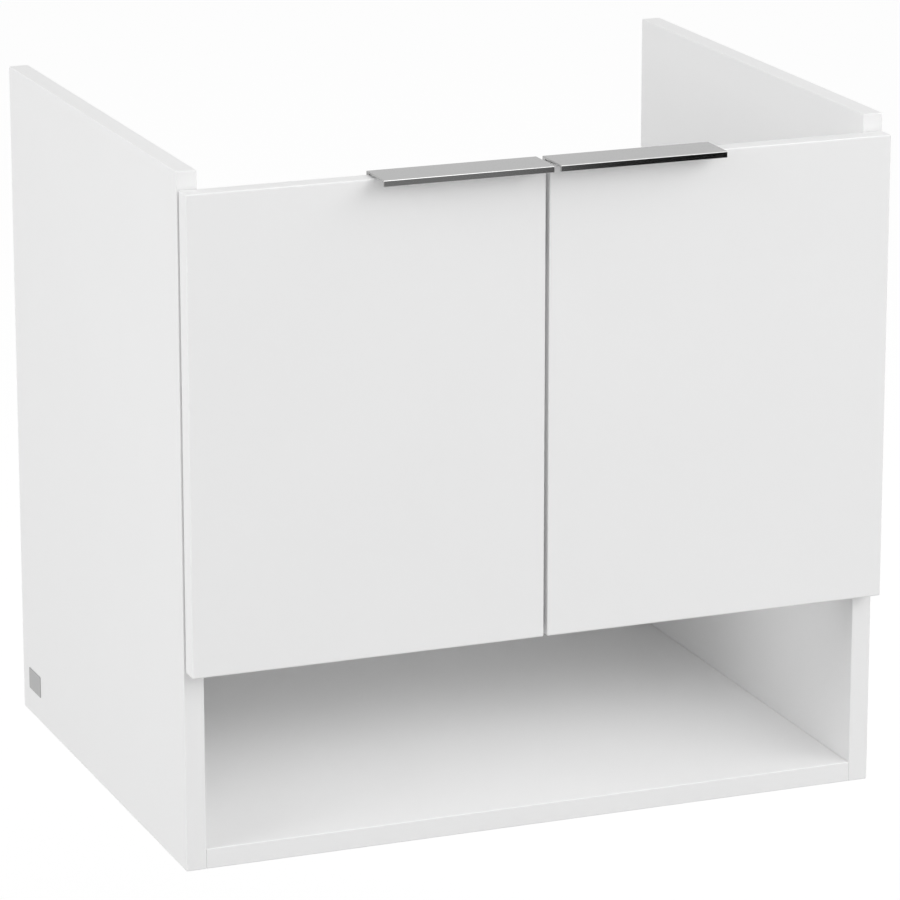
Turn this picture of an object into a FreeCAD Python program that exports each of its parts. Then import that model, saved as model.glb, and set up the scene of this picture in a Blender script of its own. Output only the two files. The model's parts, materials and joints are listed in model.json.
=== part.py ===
import FreeCAD, Part

"""Wall-hung base unit for a washbasin.

Two doors cover the upper front, an open shelf compartment lies under them, and the top
is open for the basin.

Frame: the wall is the plane y = 0 and the front faces -Y, +X runs to the right and +Z up.
The origin is at the bottom of the wall plane, half way across. Lengths are in millimetres.
"""
import os
import re

import Sketcher
from FreeCAD import Placement, Rotation, Vector

SIZES = {
    # carcass
    "width": 570.0,
    "height": 540.0,
    "depth": 421.0,
    "board": 16.0,
    "arris": 0.8,
    "shelf_underside": 160.0,
    "rear_rail_lift": 86.0,
    "rear_rail_height": 60.0,
    "front_rail_drop": 38.0,
    "front_rail_height": 50.0,
    "wall_hole_spacing": 400.0,
    "wall_hole_radius": 4.0,
    # doors
    "door_gap": 2.0,
    "door_board": 16.0,
    "door_arris": 1.2,
    "door_inset": 1.0,
    "door_split": 3.0,
    "door_drop": 13.5,
    "door_below_shelf": 2.0,
    "bumper_radius": 4.0,
    "bumper_clearance": 0.3,
    "bumper_inset": 14.0,
    # handles
    "handle_length": 135.2,
    "handle_end": 2.6,
    "handle_reach": 18.7,
    "handle_rise": 2.6,
    "handle_plate": 1.5,
    "handle_foot": 3.5,
    "handle_nose": 0.8,
    "lip_height": 5.2,
    "lip_wall": 2.0,
    "lip_curve": 2.0,
    "flange_wall": 1.5,
    "flange_height": 20.0,
    "handle_screw_inset": 20.0,
    "handle_screw_drop": 13.0,
    "handle_screw_length": 11.0,
    # hinges: the arm and the link's knee are measured from the side panel's inner face,
    # the cup and its pivot from the door's edge and back
    "hinge_top_inset": 98.0,
    "hinge_bottom_inset": 80.0,
    "arm_pivot_in": 14.0,
    "arm_pivot_back": 2.0,
    "cup_pivot_in": 9.2,
    "cup_pivot_deep": 5.1,
    "knee_in": 3.0,
    "knee_out": 9.0,
    "pin_radius": 1.2,
    "pin_clearance": 0.05,
    "eye_radius": 2.6,
    "link_wall": 1.6,
    "link_half": 6.0,
    "link_clearance": 0.4,
    "arm_wall": 1.6,
    "arm_web": 13.0,
    "arm_length": 58.0,
    "arm_nose": 3.2,
    "arm_mouth": 16.0,
    "arm_lift": 1.0,
    "arm_shoulder": 2.0,
    "arm_heel": 6.0,
    "cup_radius": 17.5,
    "cup_edge": 3.0,
    "cup_wall": 0.8,
    "cup_depth": 11.5,
    "cup_flange": 1.2,
    "cup_flange_shift": 4.0,
    "cup_flange_radius": 10.5,
    "cup_flange_out": 2.5,
    "cup_screw_shift": 9.5,
    "cup_screw_out": 6.5,
    "cup_pin_inset": 0.1,
    "plate_setback": 37.0,
    "plate_screw_half": 16.0,
    "plate_wing_half": 24.0,
    "plate_wing_depth": 13.0,
    "plate_base": 2.5,
    "plate_ridge": 8.0,
    "plate_front": 13.0,
    "arm_screw_front": 24.0,
    "arm_screw_rear": 50.0,
    # screws
    "head_radius": 3.4,
    "head_height": 1.8,
    "shank_radius": 1.8,
    "screw_length": 13.0,
    # panel joints
    "cam_radius": 7.5,
    "cam_depth": 12.5,
    "cam_reach": 24.0,
    "cam_recess": 0.3,
    "bolt_radius": 3.5,
    "bolt_in_side": 10.0,
    "dowel_radius": 4.0,
    "dowel_length": 30.0,
    "dowel_in_side": 11.0,
    "joint_inset": 50.0,
    "joint_step": 32.0,
    "front_joint_step": 21.0,
    # wall hangers
    "hanger_lift": 10.0,
    "hanger_height": 60.0,
    "hanger_width": 18.0,
    "hanger_depth": 40.0,
    "hanger_back": 14.0,
    "hanger_wall": 2.0,
    "hanger_screw_inset": 7.5,
    "slide_clearance": 0.4,
    "carriage_foot": 18.0,
    "carriage_height": 26.0,
    "carriage_depth": 27.0,
    "hook_width": 5.4,
    "hook_bar": 9.4,
    "hook_rise": 12.3,
    "hook_tip": 6.0,
    "hook_lip": 3.0,
    "hook_drop": 18.0,
    "hook_clearance": 0.3,
    "adjuster_radius": 4.0,
    # blank plate on the left side
    "label_length": 30.5,
    "label_height": 17.8,
    "label_thickness": 0.5,
    "label_rear": 17.3,
    "label_low": 21.2,
}

doc = FreeCAD.newDocument("basin_unit")
sheet = doc.addObject("Spreadsheet::Sheet", "Sizes")


def fill_sheet():
    """Writes every driving dimension to the sheet under its own name."""
    for row, (name, number) in enumerate(SIZES.items(), start=1):
        sheet.set("A%d" % row, name)
        sheet.set("B%d" % row, str(number))
        sheet.setAlias("B%d" % row, name)
    doc.recompute()


def formula(text):
    """The expression for a text such as 'width / 2 - board', with each name pointed at its cell."""
    return re.sub(r"[a-z_]+(?![a-z_(])", lambda word: "Sizes." + word.group(), text)


def bind(item, settings):
    """Binds an object's properties to expressions on the sheet's names."""
    for prop, text in settings.items():
        item.setExpression(prop, formula(text))


def place(item, x="", y="", z="", turn=None):
    """Puts an object at bound coordinates, with an optional fixed rotation."""
    item.Placement = Placement(Vector(0, 0, 0), turn or Rotation())
    for axis, text in zip("xyz", (x, y, z)):
        if text:
            item.setExpression(".Placement.Base." + axis, formula(text))
    return item


# ---- sketches and solids ----------------------------------------------------------

NEAR = 0.01
TO_X = Rotation(Vector(0, 1, 0), 90)
TO_MINUS_X = Rotation(Vector(0, 1, 0), -90)
TO_Y = Rotation(Vector(1, 0, 0), -90)
TO_MINUS_Y = Rotation(Vector(1, 0, 0), 90)
TO_MINUS_Z = Rotation(Vector(1, 0, 0), 180)


def origin_plane(body, role):
    """The body's own origin plane with that role."""
    return next(item for item in body.Origin.OriginFeatures if item.Role == role)


def new_sketch(body, name, role="XY_Plane"):
    """An empty sketch on one of the body's origin planes."""
    sketch = body.newObject("Sketcher::SketchObject", name)
    sketch.AttachmentSupport = (origin_plane(body, role), [""])
    sketch.MapMode = "FlatFace"
    return sketch


def pin_point(sketch, line, end, label, across, up):
    """Fixes one end of a line at bound distances from the sketch's origin."""
    across_id = sketch.addConstraint(Sketcher.Constraint("DistanceX", -1, 1, line, end, 1.0))
    up_id = sketch.addConstraint(Sketcher.Constraint("DistanceY", -1, 1, line, end, 1.0))
    for number, suffix, text in ((across_id, "across", across), (up_id, "up", up)):
        sketch.renameConstraint(number, label + "_" + suffix)
        sketch.setExpression("Constraints." + label + "_" + suffix, formula(text))


def outline(sketch, points):
    """Draws a closed outline of straight lines through points given as pairs of expressions."""
    count = len(points)
    seeds = [Vector(index + 1, (index * index) % 7, 0) for index in range(count)]
    for index in range(count):
        sketch.addGeometry(Part.LineSegment(seeds[index], seeds[(index + 1) % count]))
    for index in range(count):
        sketch.addConstraint(Sketcher.Constraint("Coincident", index, 2, (index + 1) % count, 1))
    for index, (across, up) in enumerate(points):
        pin_point(sketch, index, 1, "corner%d" % index, across, up)


def round_outline(sketch, across, up, radius):
    """Draws a circle with its centre at bound distances from the sketch's origin."""
    edge = sketch.addGeometry(Part.Circle(Vector(1, 1, 0), Vector(0, 0, 1), 2.0))
    pin_point(sketch, edge, 3, "centre%d" % edge, across, up)
    number = sketch.addConstraint(Sketcher.Constraint("Radius", edge, 2.0))
    sketch.renameConstraint(number, "radius%d" % edge)
    sketch.setExpression("Constraints.radius%d" % edge, formula(radius))


def pad(body, sketch, length, middle=False):
    """Raises a sketch into a solid, to one side of its plane or to both alike."""
    feature = body.newObject("PartDesign::Pad", sketch.Name + "_pad")
    feature.Profile = sketch
    feature.SideType = "Symmetric" if middle else "One side"
    bind(feature, {"Length": length})
    return feature


def pocket(body, sketch, length, middle=False):
    """Cuts a sketch out of the solid."""
    feature = body.newObject("PartDesign::Pocket", sketch.Name + "_pocket")
    feature.Profile = sketch
    feature.SideType = "Symmetric" if middle else "One side"
    bind(feature, {"Length": length})
    return feature


def rectangle(wide, tall):
    """The corners of a rectangle that starts at the sketch's origin."""
    none = "0 * " + wide
    return [(none, none), (wide, none), (wide, tall), (none, tall)]


def board(name, size, at, arris="arris"):
    """A flat board of the given size, its low corner at the given place, with every edge eased."""
    body = doc.addObject("PartDesign::Body", name)
    sketch = new_sketch(body, name + "_outline")
    outline(sketch, rectangle(size[0], size[1]))
    raised = pad(body, sketch, size[2])
    eased = body.newObject("PartDesign::Fillet", name + "_arris")
    eased.Base = (raised, [""])
    eased.UseAllEdges = True
    bind(eased, {"Radius": arris})
    return place(body, *at)


def block(name, size, at):
    """A plain box of the given size, its low corner at the given place."""
    box = doc.addObject("Part::Box", name)
    bind(box, {"Length": size[0], "Width": size[1], "Height": size[2]})
    return place(box, *at)


def rod(name, radius, length, at, turn=None):
    """A plain cylinder that starts at the given place and runs along the turned Z axis."""
    cylinder = doc.addObject("Part::Cylinder", name)
    bind(cylinder, {"Radius": radius, "Height": length})
    return place(cylinder, *at, turn=turn)


def fused(name, pieces):
    """One solid made of several that meet."""
    joined = doc.addObject("Part::MultiFuse", name)
    joined.Shapes = pieces
    joined.Refine = True
    return joined


def group(name, pieces):
    """Several solids that stay separate."""
    gathered = doc.addObject("Part::Compound", name)
    gathered.Links = pieces
    return gathered


def cut(name, base, tools):
    """The base with the tools' room taken out of it."""
    result = doc.addObject("Part::Cut", name)
    result.Base = base
    result.Tool = tools[0] if len(tools) == 1 else group(name + "_room", tools)
    return result


def put(name, source, at=("", "", ""), turn=None):
    """A placed copy of a piece that was drawn in its own frame."""
    return place(group(name, [source]), *at, turn=turn)


def mirrored(name, source):
    """The right-hand copy of a left-hand piece."""
    copy = doc.addObject("Part::Mirroring", name)
    copy.Source = source
    copy.Base = Vector(0, 0, 0)
    copy.Normal = Vector(1, 0, 0)
    return copy


def screw(name, length="screw_length"):
    """A flat-headed screw that enters along +Z, with the top of its head at the origin."""
    head = doc.addObject("Part::Cone", name + "_head")
    bind(head, {"Radius1": "head_radius", "Radius2": "shank_radius", "Height": "head_height"})
    return fused(name, [head, rod(name + "_shank", "shank_radius", length, ("", "", ""))])


# ---- carcass ----------------------------------------------------------------------

INNER = "(width - 2 * board)"
SIDE_X = "-width / 2"
INSIDE_X = "board - width / 2"
SHELF_MIDDLE = "shelf_underside + board / 2"
REAR_RAIL_FOOT = "shelf_underside + board + rear_rail_lift"
REAR_RAIL_MIDDLE = REAR_RAIL_FOOT + " + rear_rail_height / 2"
FRONT_RAIL_FOOT = "height - front_rail_drop - front_rail_height"
FRONT_RAIL_MIDDLE = FRONT_RAIL_FOOT + " + front_rail_height / 2"


def carcass_boards():
    """The boards as they leave the saw, before their joints are drilled."""
    front = "-depth"
    back = "-board"
    return {
        "left_side": board("left_side_board", ("board", "depth", "height"), (SIDE_X, front, "")),
        "bottom_panel": board("bottom_board", (INNER, "depth", "board"), (INSIDE_X, front, "")),
        "middle_shelf": board(
            "shelf_board", (INNER, "depth", "board"), (INSIDE_X, front, "shelf_underside")
        ),
        "niche_back": board(
            "niche_board", (INNER, "board", "shelf_underside - board"), (INSIDE_X, back, "board")
        ),
        "rear_rail": board(
            "rear_rail_board",
            (INNER, "board", "rear_rail_height"),
            (INSIDE_X, back, REAR_RAIL_FOOT),
        ),
        "front_rail": board(
            "front_rail_board",
            (INNER, "board", "front_rail_height"),
            (INSIDE_X, front, FRONT_RAIL_FOOT),
        ),
    }


HALF = "board / 2"
FRONT_JOINT = "joint_inset - depth"
BACK_JOINT = "-joint_inset"
# each joint: its board, the height and depth of its axis, and the way its cam opens
CAM_JOINTS = [
    ("bottom_panel", HALF, FRONT_JOINT, "down"),
    ("bottom_panel", HALF, BACK_JOINT, "down"),
    ("middle_shelf", SHELF_MIDDLE, FRONT_JOINT, "up"),
    ("middle_shelf", SHELF_MIDDLE, BACK_JOINT, "up"),
    ("rear_rail", REAR_RAIL_MIDDLE + " + joint_step / 2", "-board / 2", "front"),
    ("front_rail", FRONT_RAIL_MIDDLE + " + front_joint_step / 2", "board / 2 - depth", "back"),
]
DOWEL_JOINTS = [
    ("bottom_panel", HALF, FRONT_JOINT + " + joint_step"),
    ("bottom_panel", HALF, BACK_JOINT + " - joint_step"),
    ("middle_shelf", SHELF_MIDDLE, FRONT_JOINT + " + joint_step"),
    ("middle_shelf", SHELF_MIDDLE, BACK_JOINT + " - joint_step"),
    ("niche_back", "shelf_underside / 2 - joint_step", "-board / 2"),
    ("niche_back", "shelf_underside / 2 + joint_step", "-board / 2"),
    ("rear_rail", REAR_RAIL_MIDDLE + " - joint_step / 2", "-board / 2"),
    ("front_rail", FRONT_RAIL_MIDDLE + " - front_joint_step / 2", "board / 2 - depth"),
]


def cam_mouth(way, height, depth_place):
    """Where a cam's open face lies, and the rotation that points it into its board."""
    return {
        "down": (depth_place, height + " - board / 2 + cam_recess", Rotation()),
        "up": (depth_place, height + " + board / 2 - cam_recess", TO_MINUS_Z),
        "front": (depth_place + " - board / 2 + cam_recess", height, TO_Y),
        "back": (depth_place + " + board / 2 - cam_recess", height, TO_MINUS_Y),
    }[way]


def panel_joints():
    """The left-hand bolts, cams and dowels, each with the board that it enters."""
    bolts, cams, dowels = [], [], []
    for index, (panel, height, back, way) in enumerate(CAM_JOINTS):
        bolt = rod(
            "bolt%d" % index, "bolt_radius", "bolt_in_side + cam_reach - cam_radius / 2",
            (INSIDE_X + " - bolt_in_side", back, height), TO_X,
        )
        mouth_y, mouth_z, turn = cam_mouth(way, height, back)
        mouth = (INSIDE_X + " + cam_reach", mouth_y, mouth_z)
        drum = rod("drum%d" % index, "cam_radius", "cam_depth", mouth, turn)
        bolts.append((panel, bolt))
        cams.append((panel, drum, cut("cam%d" % index, drum, [bolt])))
    for index, (panel, height, back) in enumerate(DOWEL_JOINTS):
        dowel = rod(
            "dowel%d" % index, "dowel_radius", "dowel_length",
            (INSIDE_X + " - dowel_in_side", back, height), TO_X,
        )
        dowels.append((panel, dowel))
    return bolts, cams, dowels


def wall_holes():
    """The two holes through the rear rail for screws into the wall."""
    return [
        rod(
            "wall_hole%d" % index, "wall_hole_radius", "board",
            ("%d * wall_hole_spacing / 2" % sign, "-board", REAR_RAIL_MIDDLE), TO_Y,
        )
        for index, sign in enumerate((-1, 1))
    ]


# ---- doors and handles ------------------------------------------------------------

DOOR_BACK = "-depth - door_gap"
DOOR_LEFT = "door_inset - width / 2"
DOOR_WIDE = "(width / 2 - door_inset - door_split / 2)"
DOOR_FOOT = "shelf_underside - door_below_shelf"
DOOR_TOP = "height - door_drop"
DOOR_TALL = "(height - door_drop - shelf_underside + door_below_shelf)"


def door_board():
    """The left door before it is bored for its hinges."""
    return board(
        "door_board",
        (DOOR_WIDE, "door_board", DOOR_TALL),
        (DOOR_LEFT, DOOR_BACK + " - door_board", DOOR_FOOT),
        arris="door_arris",
    )


def handle_profile():
    """The handle's section: hanging lip, top plate, foot on the door's edge and screw flange."""
    front = "-handle_reach - door_board"
    under = "handle_rise - handle_plate"
    return [
        (front, "handle_rise"),
        (front, "handle_rise - lip_height"),
        (front + " + lip_wall", "handle_rise - lip_height"),
        (front + " + lip_wall", under),
        ("-handle_foot", under),
        ("-handle_foot", "0 * handle_rise"),
        ("0 * handle_foot", "0 * handle_rise"),
        ("0 * handle_foot", "-flange_height"),
        ("flange_wall", "-flange_height"),
        ("flange_wall", "handle_rise"),
    ]


def long_edges(shape, wanted):
    """The names of a profile's lengthwise edges that lie at the wanted y and z."""
    names = []
    for number, edge in enumerate(shape.Edges, start=1):
        ends = [vertex.Point for vertex in edge.Vertexes]
        runs_along = abs(ends[0].x - ends[-1].x) > NEAR
        if runs_along and any(
            abs(ends[0].y - y) < NEAR and abs(ends[0].z - z) < NEAR for y, z in wanted
        ):
            names.append("Edge%d" % number)
    return names


def eased(body, base, corners, radius):
    """Rounds the lengthwise edges that lie at the given y and z."""
    doc.recompute()
    feature = body.newObject("PartDesign::Fillet", radius + "_round")
    feature.Base = (base, long_edges(base.Shape, corners))
    bind(feature, {"Radius": radius})
    return feature


def handle():
    """The left edge-pull handle: it lies on the door's top edge and is screwed on behind."""
    body = doc.addObject("PartDesign::Body", "handle_bar")
    sketch = new_sketch(body, "handle_section", "YZ_Plane")
    outline(sketch, handle_profile())
    raised = pad(body, sketch, "handle_length")
    front = -sheet.get("handle_reach") - sheet.get("door_board")
    rise = sheet.get("handle_rise")
    under = rise - sheet.get("handle_plate")
    nose = eased(body, raised, [(front, rise), (sheet.get("flange_wall"), rise)], "handle_nose")
    eased(body, nose, [(front + sheet.get("lip_wall"), under)], "lip_curve")
    return place(body, "-handle_end - handle_length", DOOR_BACK, DOOR_TOP)


def handle_screws():
    """Two screws through the handle's flange into the door's back."""
    pattern = screw("handle_screw", "handle_screw_length")
    y = DOOR_BACK + " + flange_wall"
    z = DOOR_TOP + " - handle_screw_drop"
    places = (
        "-handle_end - handle_length + handle_screw_inset",
        "-handle_end - handle_screw_inset",
    )
    return [
        put("handle_screw%d" % index, pattern, (x, y, z), TO_MINUS_Y)
        for index, x in enumerate(places)
    ]


def bumpers():
    """Two soft dots on the door's back: they meet the shelf's front edge and the front rail."""
    x = "-door_split / 2 - bumper_inset"
    return [
        rod(
            "bumper%d" % index, "bumper_radius", "door_gap - bumper_clearance",
            (x, DOOR_BACK, z), TO_Y,
        )
        for index, z in enumerate((SHELF_MIDDLE, FRONT_RAIL_MIDDLE))
    ]


# ---- hinges -----------------------------------------------------------------------
# Each piece is drawn with the side panel's outer front corner at the origin, +X into the
# cabinet and +Y to the wall.

ARM_X = "(board + arm_pivot_in)"
CUP_X = "(door_inset + cup_edge + cup_radius)"
PIVOT_X = "(door_inset + cup_pivot_in)"
PIVOT_Y = "(-door_gap - cup_pivot_deep)"
EYE_BORE = "pin_radius + pin_clearance"
LINK_ROOM = "(link_half + link_clearance)"
CHEEK = "(link_half + link_clearance + arm_wall)"
# half the cup's chord where the far side of its pin's bore meets the wall
PIN_SIDE = "(cup_edge + cup_radius - cup_pivot_in + pin_radius + pin_clearance)"
CUP_PIN_HALF = "(sqrt(cup_radius ^ 2 - " + PIN_SIDE + " ^ 2) - cup_pin_inset)"
CUP_SCREW_Z = "(cup_radius + cup_screw_out)"
FLANGE_Z = "(cup_radius + cup_flange_out)"


def hinge_screw_places():
    """Where the two screws of a cup and of a plate go, and the two on the arm."""
    signs = ("-", "")
    cup_x = CUP_X + " + cup_screw_shift"
    flange_y = "-door_gap + cup_flange"
    wing_x = "board + plate_base"
    web_x = "board + arm_web"
    return {
        "cup": [(cup_x, flange_y, sign + CUP_SCREW_Z) for sign in signs],
        "plate": [(wing_x, "plate_setback", sign + "plate_screw_half") for sign in signs],
        "arm": [(web_x, back, "") for back in ("arm_screw_front", "arm_screw_rear")],
    }


def hinge_screws():
    """The hinge's screws in its own frame, by what they hold."""
    wood = screw("wood_screw")
    adjuster = screw("arm_screw", "arm_web - plate_base")
    patterns = {"cup": wood, "plate": wood, "arm": adjuster}
    turns = {"cup": TO_MINUS_Y, "plate": TO_MINUS_X, "arm": TO_MINUS_X}
    return {
        kind: [
            put("%s_screw%d" % (kind, index), patterns[kind], at, turns[kind])
            for index, at in enumerate(places)
        ]
        for kind, places in hinge_screw_places().items()
    }


def hinge_pins():
    """The pin in the arm's nose and the pin across the cup."""
    arm_pin = rod("arm_pin", "pin_radius", "2 * " + CHEEK, (ARM_X, "arm_pivot_back", "-" + CHEEK))
    cup_pin = rod(
        "cup_pin", "pin_radius", "2 * " + CUP_PIN_HALF, (PIVOT_X, PIVOT_Y, "-" + CUP_PIN_HALF)
    )
    return arm_pin, cup_pin


def hinge_arm(screws):
    """The arm: a folded channel whose two cheeks reach forward to the pivot."""
    body = doc.addObject("PartDesign::Body", "arm_channel")
    cheeks = new_sketch(body, "arm_cheeks")
    web = "board + arm_web"
    foot = "board + plate_base + arm_lift"
    outline(cheeks, [
        (foot, "arm_length"),
        (web, "arm_length"),
        (web, "arm_mouth + arm_shoulder"),
        (ARM_X + " + arm_nose", "arm_mouth / 2"),
        (ARM_X + " + arm_nose", "arm_pivot_back"),
        (ARM_X + " - arm_nose", "arm_pivot_back"),
        (ARM_X + " - arm_nose", "arm_mouth / 2"),
        (foot, "arm_mouth + arm_heel"),
    ])
    pad(body, cheeks, "2 * " + CHEEK, middle=True)
    nose = new_sketch(body, "arm_nose_round")
    round_outline(nose, ARM_X, "arm_pivot_back", "arm_nose")
    pad(body, nose, "2 * " + CHEEK, middle=True)
    # the room between the cheeks runs out past the arm at both ends and below
    room = new_sketch(body, "arm_room")
    outline(room, [
        ("board / 2", "arm_length + board"),
        (web + " - arm_wall", "arm_length + board"),
        (web + " - arm_wall", "arm_mouth"),
        (ARM_X + " + board", "arm_mouth"),
        (ARM_X + " + board", "-board"),
        ("board / 2", "-board"),
    ])
    pocket(body, room, "2 * " + LINK_ROOM, middle=True)
    bore = new_sketch(body, "arm_bore")
    round_outline(bore, ARM_X, "arm_pivot_back", EYE_BORE)
    pocket(body, bore, "2 * " + CHEEK, middle=True)
    return cut("arm", body, screws)


def hinge_plate(screws):
    """The mounting plate: a ridge that carries the arm, and two wings that are screwed to the side."""
    wings = block(
        "plate_wings", ("plate_base", "plate_wing_depth", "2 * plate_wing_half"),
        ("board", "plate_setback - plate_wing_depth / 2", "-plate_wing_half"),
    )
    ridge = block(
        "plate_ridge_block", ("plate_ridge", "arm_length - plate_front", "2 * link_half"),
        ("board", "plate_front", "-link_half"),
    )
    return cut("plate", fused("plate_blank", [wings, ridge]), screws)


def hinge_link():
    """The bowed link between the two pins: an eye at each end and a curved web."""
    inner_face = sheet.get("board")
    arm_eye = Vector(inner_face + sheet.get("arm_pivot_in"), sheet.get("arm_pivot_back"), 0)
    cup_eye = Vector(
        sheet.get("door_inset") + sheet.get("cup_pivot_in"),
        -sheet.get("door_gap") - sheet.get("cup_pivot_deep"),
        0,
    )
    knee = Vector(inner_face + sheet.get("knee_in"), -sheet.get("knee_out"), 0)
    bow = Part.Arc(arm_eye, knee, cup_eye).toShape().Curve
    half = sheet.get("link_half")
    wall = sheet.get("link_wall")
    sides = []
    for radius in (bow.Radius - wall / 2, bow.Radius + wall / 2):
        points = [
            bow.Center + (point - bow.Center).normalize() * radius
            for point in (arm_eye, knee, cup_eye)
        ]
        sides.append(Part.Arc(*points).toShape())
    starts = [edge.valueAt(edge.FirstParameter) for edge in sides]
    ends = [edge.valueAt(edge.LastParameter) for edge in sides]
    caps = [Part.makeLine(*ends), Part.makeLine(*starts)]
    web = Part.Face(Part.Wire(Part.__sortEdges__(sides + caps)))
    web.translate(Vector(0, 0, -half))
    shape = web.extrude(Vector(0, 0, 2 * half))
    foot = Vector(0, 0, -half)
    up = Vector(0, 0, 1)
    for eye in (arm_eye, cup_eye):
        shape = shape.fuse(Part.makeCylinder(sheet.get("eye_radius"), 2 * half, eye + foot, up))
    bore = sheet.get("pin_radius") + sheet.get("pin_clearance")
    for eye in (arm_eye, cup_eye):
        shape = shape.cut(Part.makeCylinder(bore, 2 * half, eye + foot, up))
    link = doc.addObject("Part::Feature", "link")
    link.Shape = shape.removeSplitter().Solids[0]
    return link


def hinge_cup(screws):
    """The cup that is pressed into the door, with the flange that its screws go through."""
    rim = "-door_gap"
    flange_x = CUP_X + " + cup_flange_shift"
    pot = rod("cup_pot", "cup_radius", "cup_depth", (CUP_X, rim, ""), TO_MINUS_Y)
    bar = block(
        "cup_flange_bar", ("2 * cup_flange_radius", "cup_flange", "2 * " + FLANGE_Z),
        (flange_x + " - cup_flange_radius", rim, "-" + FLANGE_Z),
    )
    ends = [
        rod(
            "cup_flange_end%d" % index, "cup_flange_radius", "cup_flange",
            (flange_x, rim, sign + FLANGE_Z), TO_Y,
        )
        for index, sign in enumerate(("-", ""))
    ]
    collar = rod("cup_collar", "cup_radius", "cup_flange", (CUP_X, rim, ""), TO_Y)
    room = rod(
        "cup_room", "cup_radius - cup_wall", "cup_depth - cup_wall + cup_flange",
        (CUP_X, rim + " + cup_flange", ""), TO_MINUS_Y,
    )
    bore = rod(
        "cup_bore", EYE_BORE, "2 * " + CUP_PIN_HALF, (PIVOT_X, PIVOT_Y, "-" + CUP_PIN_HALF)
    )
    return cut("cup", fused("cup_blank", [pot, bar, collar] + ends), [room, bore] + screws), pot


def hinge_places():
    """The heights of the lower and the upper hinge."""
    return {
        "lower": DOOR_FOOT + " + hinge_bottom_inset",
        "upper": DOOR_TOP + " - hinge_top_inset",
    }


# ---- wall hangers -----------------------------------------------------------------

HANGER_X = "(board - width / 2)"
HANGER_FOOT = REAR_RAIL_FOOT + " + rear_rail_height + hanger_lift"
CARRIAGE_Y = "-hanger_back - hanger_depth + hanger_wall + slide_clearance"
CARRIAGE_FOOT = HANGER_FOOT + " + carriage_foot"
HOOK_FOOT = CARRIAGE_FOOT + " + hook_rise"
HOOK_X = "board - width / 2 + hanger_width / 2 - hook_width / 2"


def hanger_fixings():
    """Two screws that hold the housing to the side, above and below the carriage's travel."""
    pattern = screw("hanger_screw")
    x = HANGER_X + " + hanger_wall"
    y = "-hanger_back - hanger_depth / 2"
    insets = ("hanger_screw_inset", "hanger_height - hanger_screw_inset")
    return [
        put("hanger_screw%d" % index, pattern, (x, y, HANGER_FOOT + " + " + inset), TO_MINUS_X)
        for index, inset in enumerate(insets)
    ]


def hanger_adjusters():
    """The two adjusting screws in the housing's front wall."""
    front = "-hanger_back - hanger_depth"
    pieces = []
    for index, z in enumerate(("carriage_foot", "carriage_foot + carriage_height")):
        at = (HANGER_X + " + hanger_width / 2", front, HANGER_FOOT + " + " + z)
        head = rod("adjuster_head%d" % index, "adjuster_radius", "hanger_wall", at, TO_MINUS_Y)
        stem = rod("adjuster_stem%d" % index, "adjuster_radius / 2", "hanger_wall", at, TO_Y)
        pieces.append(fused("adjuster%d" % index, [head, stem]))
    return pieces


def hanger_housing(tools):
    """The housing in the rear corner, open towards the wall."""
    front = "-hanger_back - hanger_depth"
    shell = block(
        "hanger_shell", ("hanger_width", "hanger_depth", "hanger_height"),
        (HANGER_X, front, HANGER_FOOT),
    )
    room = block(
        "hanger_room",
        (
            "hanger_width - 2 * hanger_wall",
            "hanger_depth - hanger_wall",
            "hanger_height - 2 * hanger_wall",
        ),
        (HANGER_X + " + hanger_wall", front + " + hanger_wall", HANGER_FOOT + " + hanger_wall"),
    )
    return cut("left_hanger_housing", shell, [room] + tools)


def hanger_carriage():
    """The block that slides up and down in the housing, with a slot for the hook."""
    blank = block(
        "carriage_blank",
        ("hanger_width - 2 * hanger_wall - 2 * slide_clearance", "carriage_depth", "carriage_height"),
        (HANGER_X + " + hanger_wall + slide_clearance", CARRIAGE_Y, CARRIAGE_FOOT),
    )
    slot = block(
        "carriage_slot",
        ("hook_width + 2 * hook_clearance", "carriage_depth", "hook_bar + 2 * hook_clearance"),
        (HOOK_X + " - hook_clearance", CARRIAGE_Y, HOOK_FOOT + " - hook_clearance"),
    )
    return cut("left_hanger_carriage", blank, [slot])


def hanger_hook():
    """The hook: a flat bar through the carriage, with a lip that hangs over the plate on the wall."""
    bar = block(
        "hook_shank", ("hook_width", "hanger_back + carriage_depth", "hook_bar"),
        (HOOK_X, "-hook_tip - hanger_back - carriage_depth", HOOK_FOOT),
    )
    lip = block(
        "hook_lip_block", ("hook_width", "hook_lip", "hook_drop"),
        (HOOK_X, "-hook_tip - hook_lip", HOOK_FOOT + " + hook_bar - hook_drop"),
    )
    return fused("left_hanger_hook", [bar, lip])


# ---- assembly ---------------------------------------------------------------------

nodes = {}


def add(name, item):
    """Makes an object one of the sub-parts that are written out."""
    item.Label = name
    nodes[name] = item
    return item


def add_pair(name, left):
    """Adds a left-hand piece and its mirrored right-hand copy."""
    add("left_" + name, left)
    add("right_" + name, mirrored("right_" + name, left))


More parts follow.
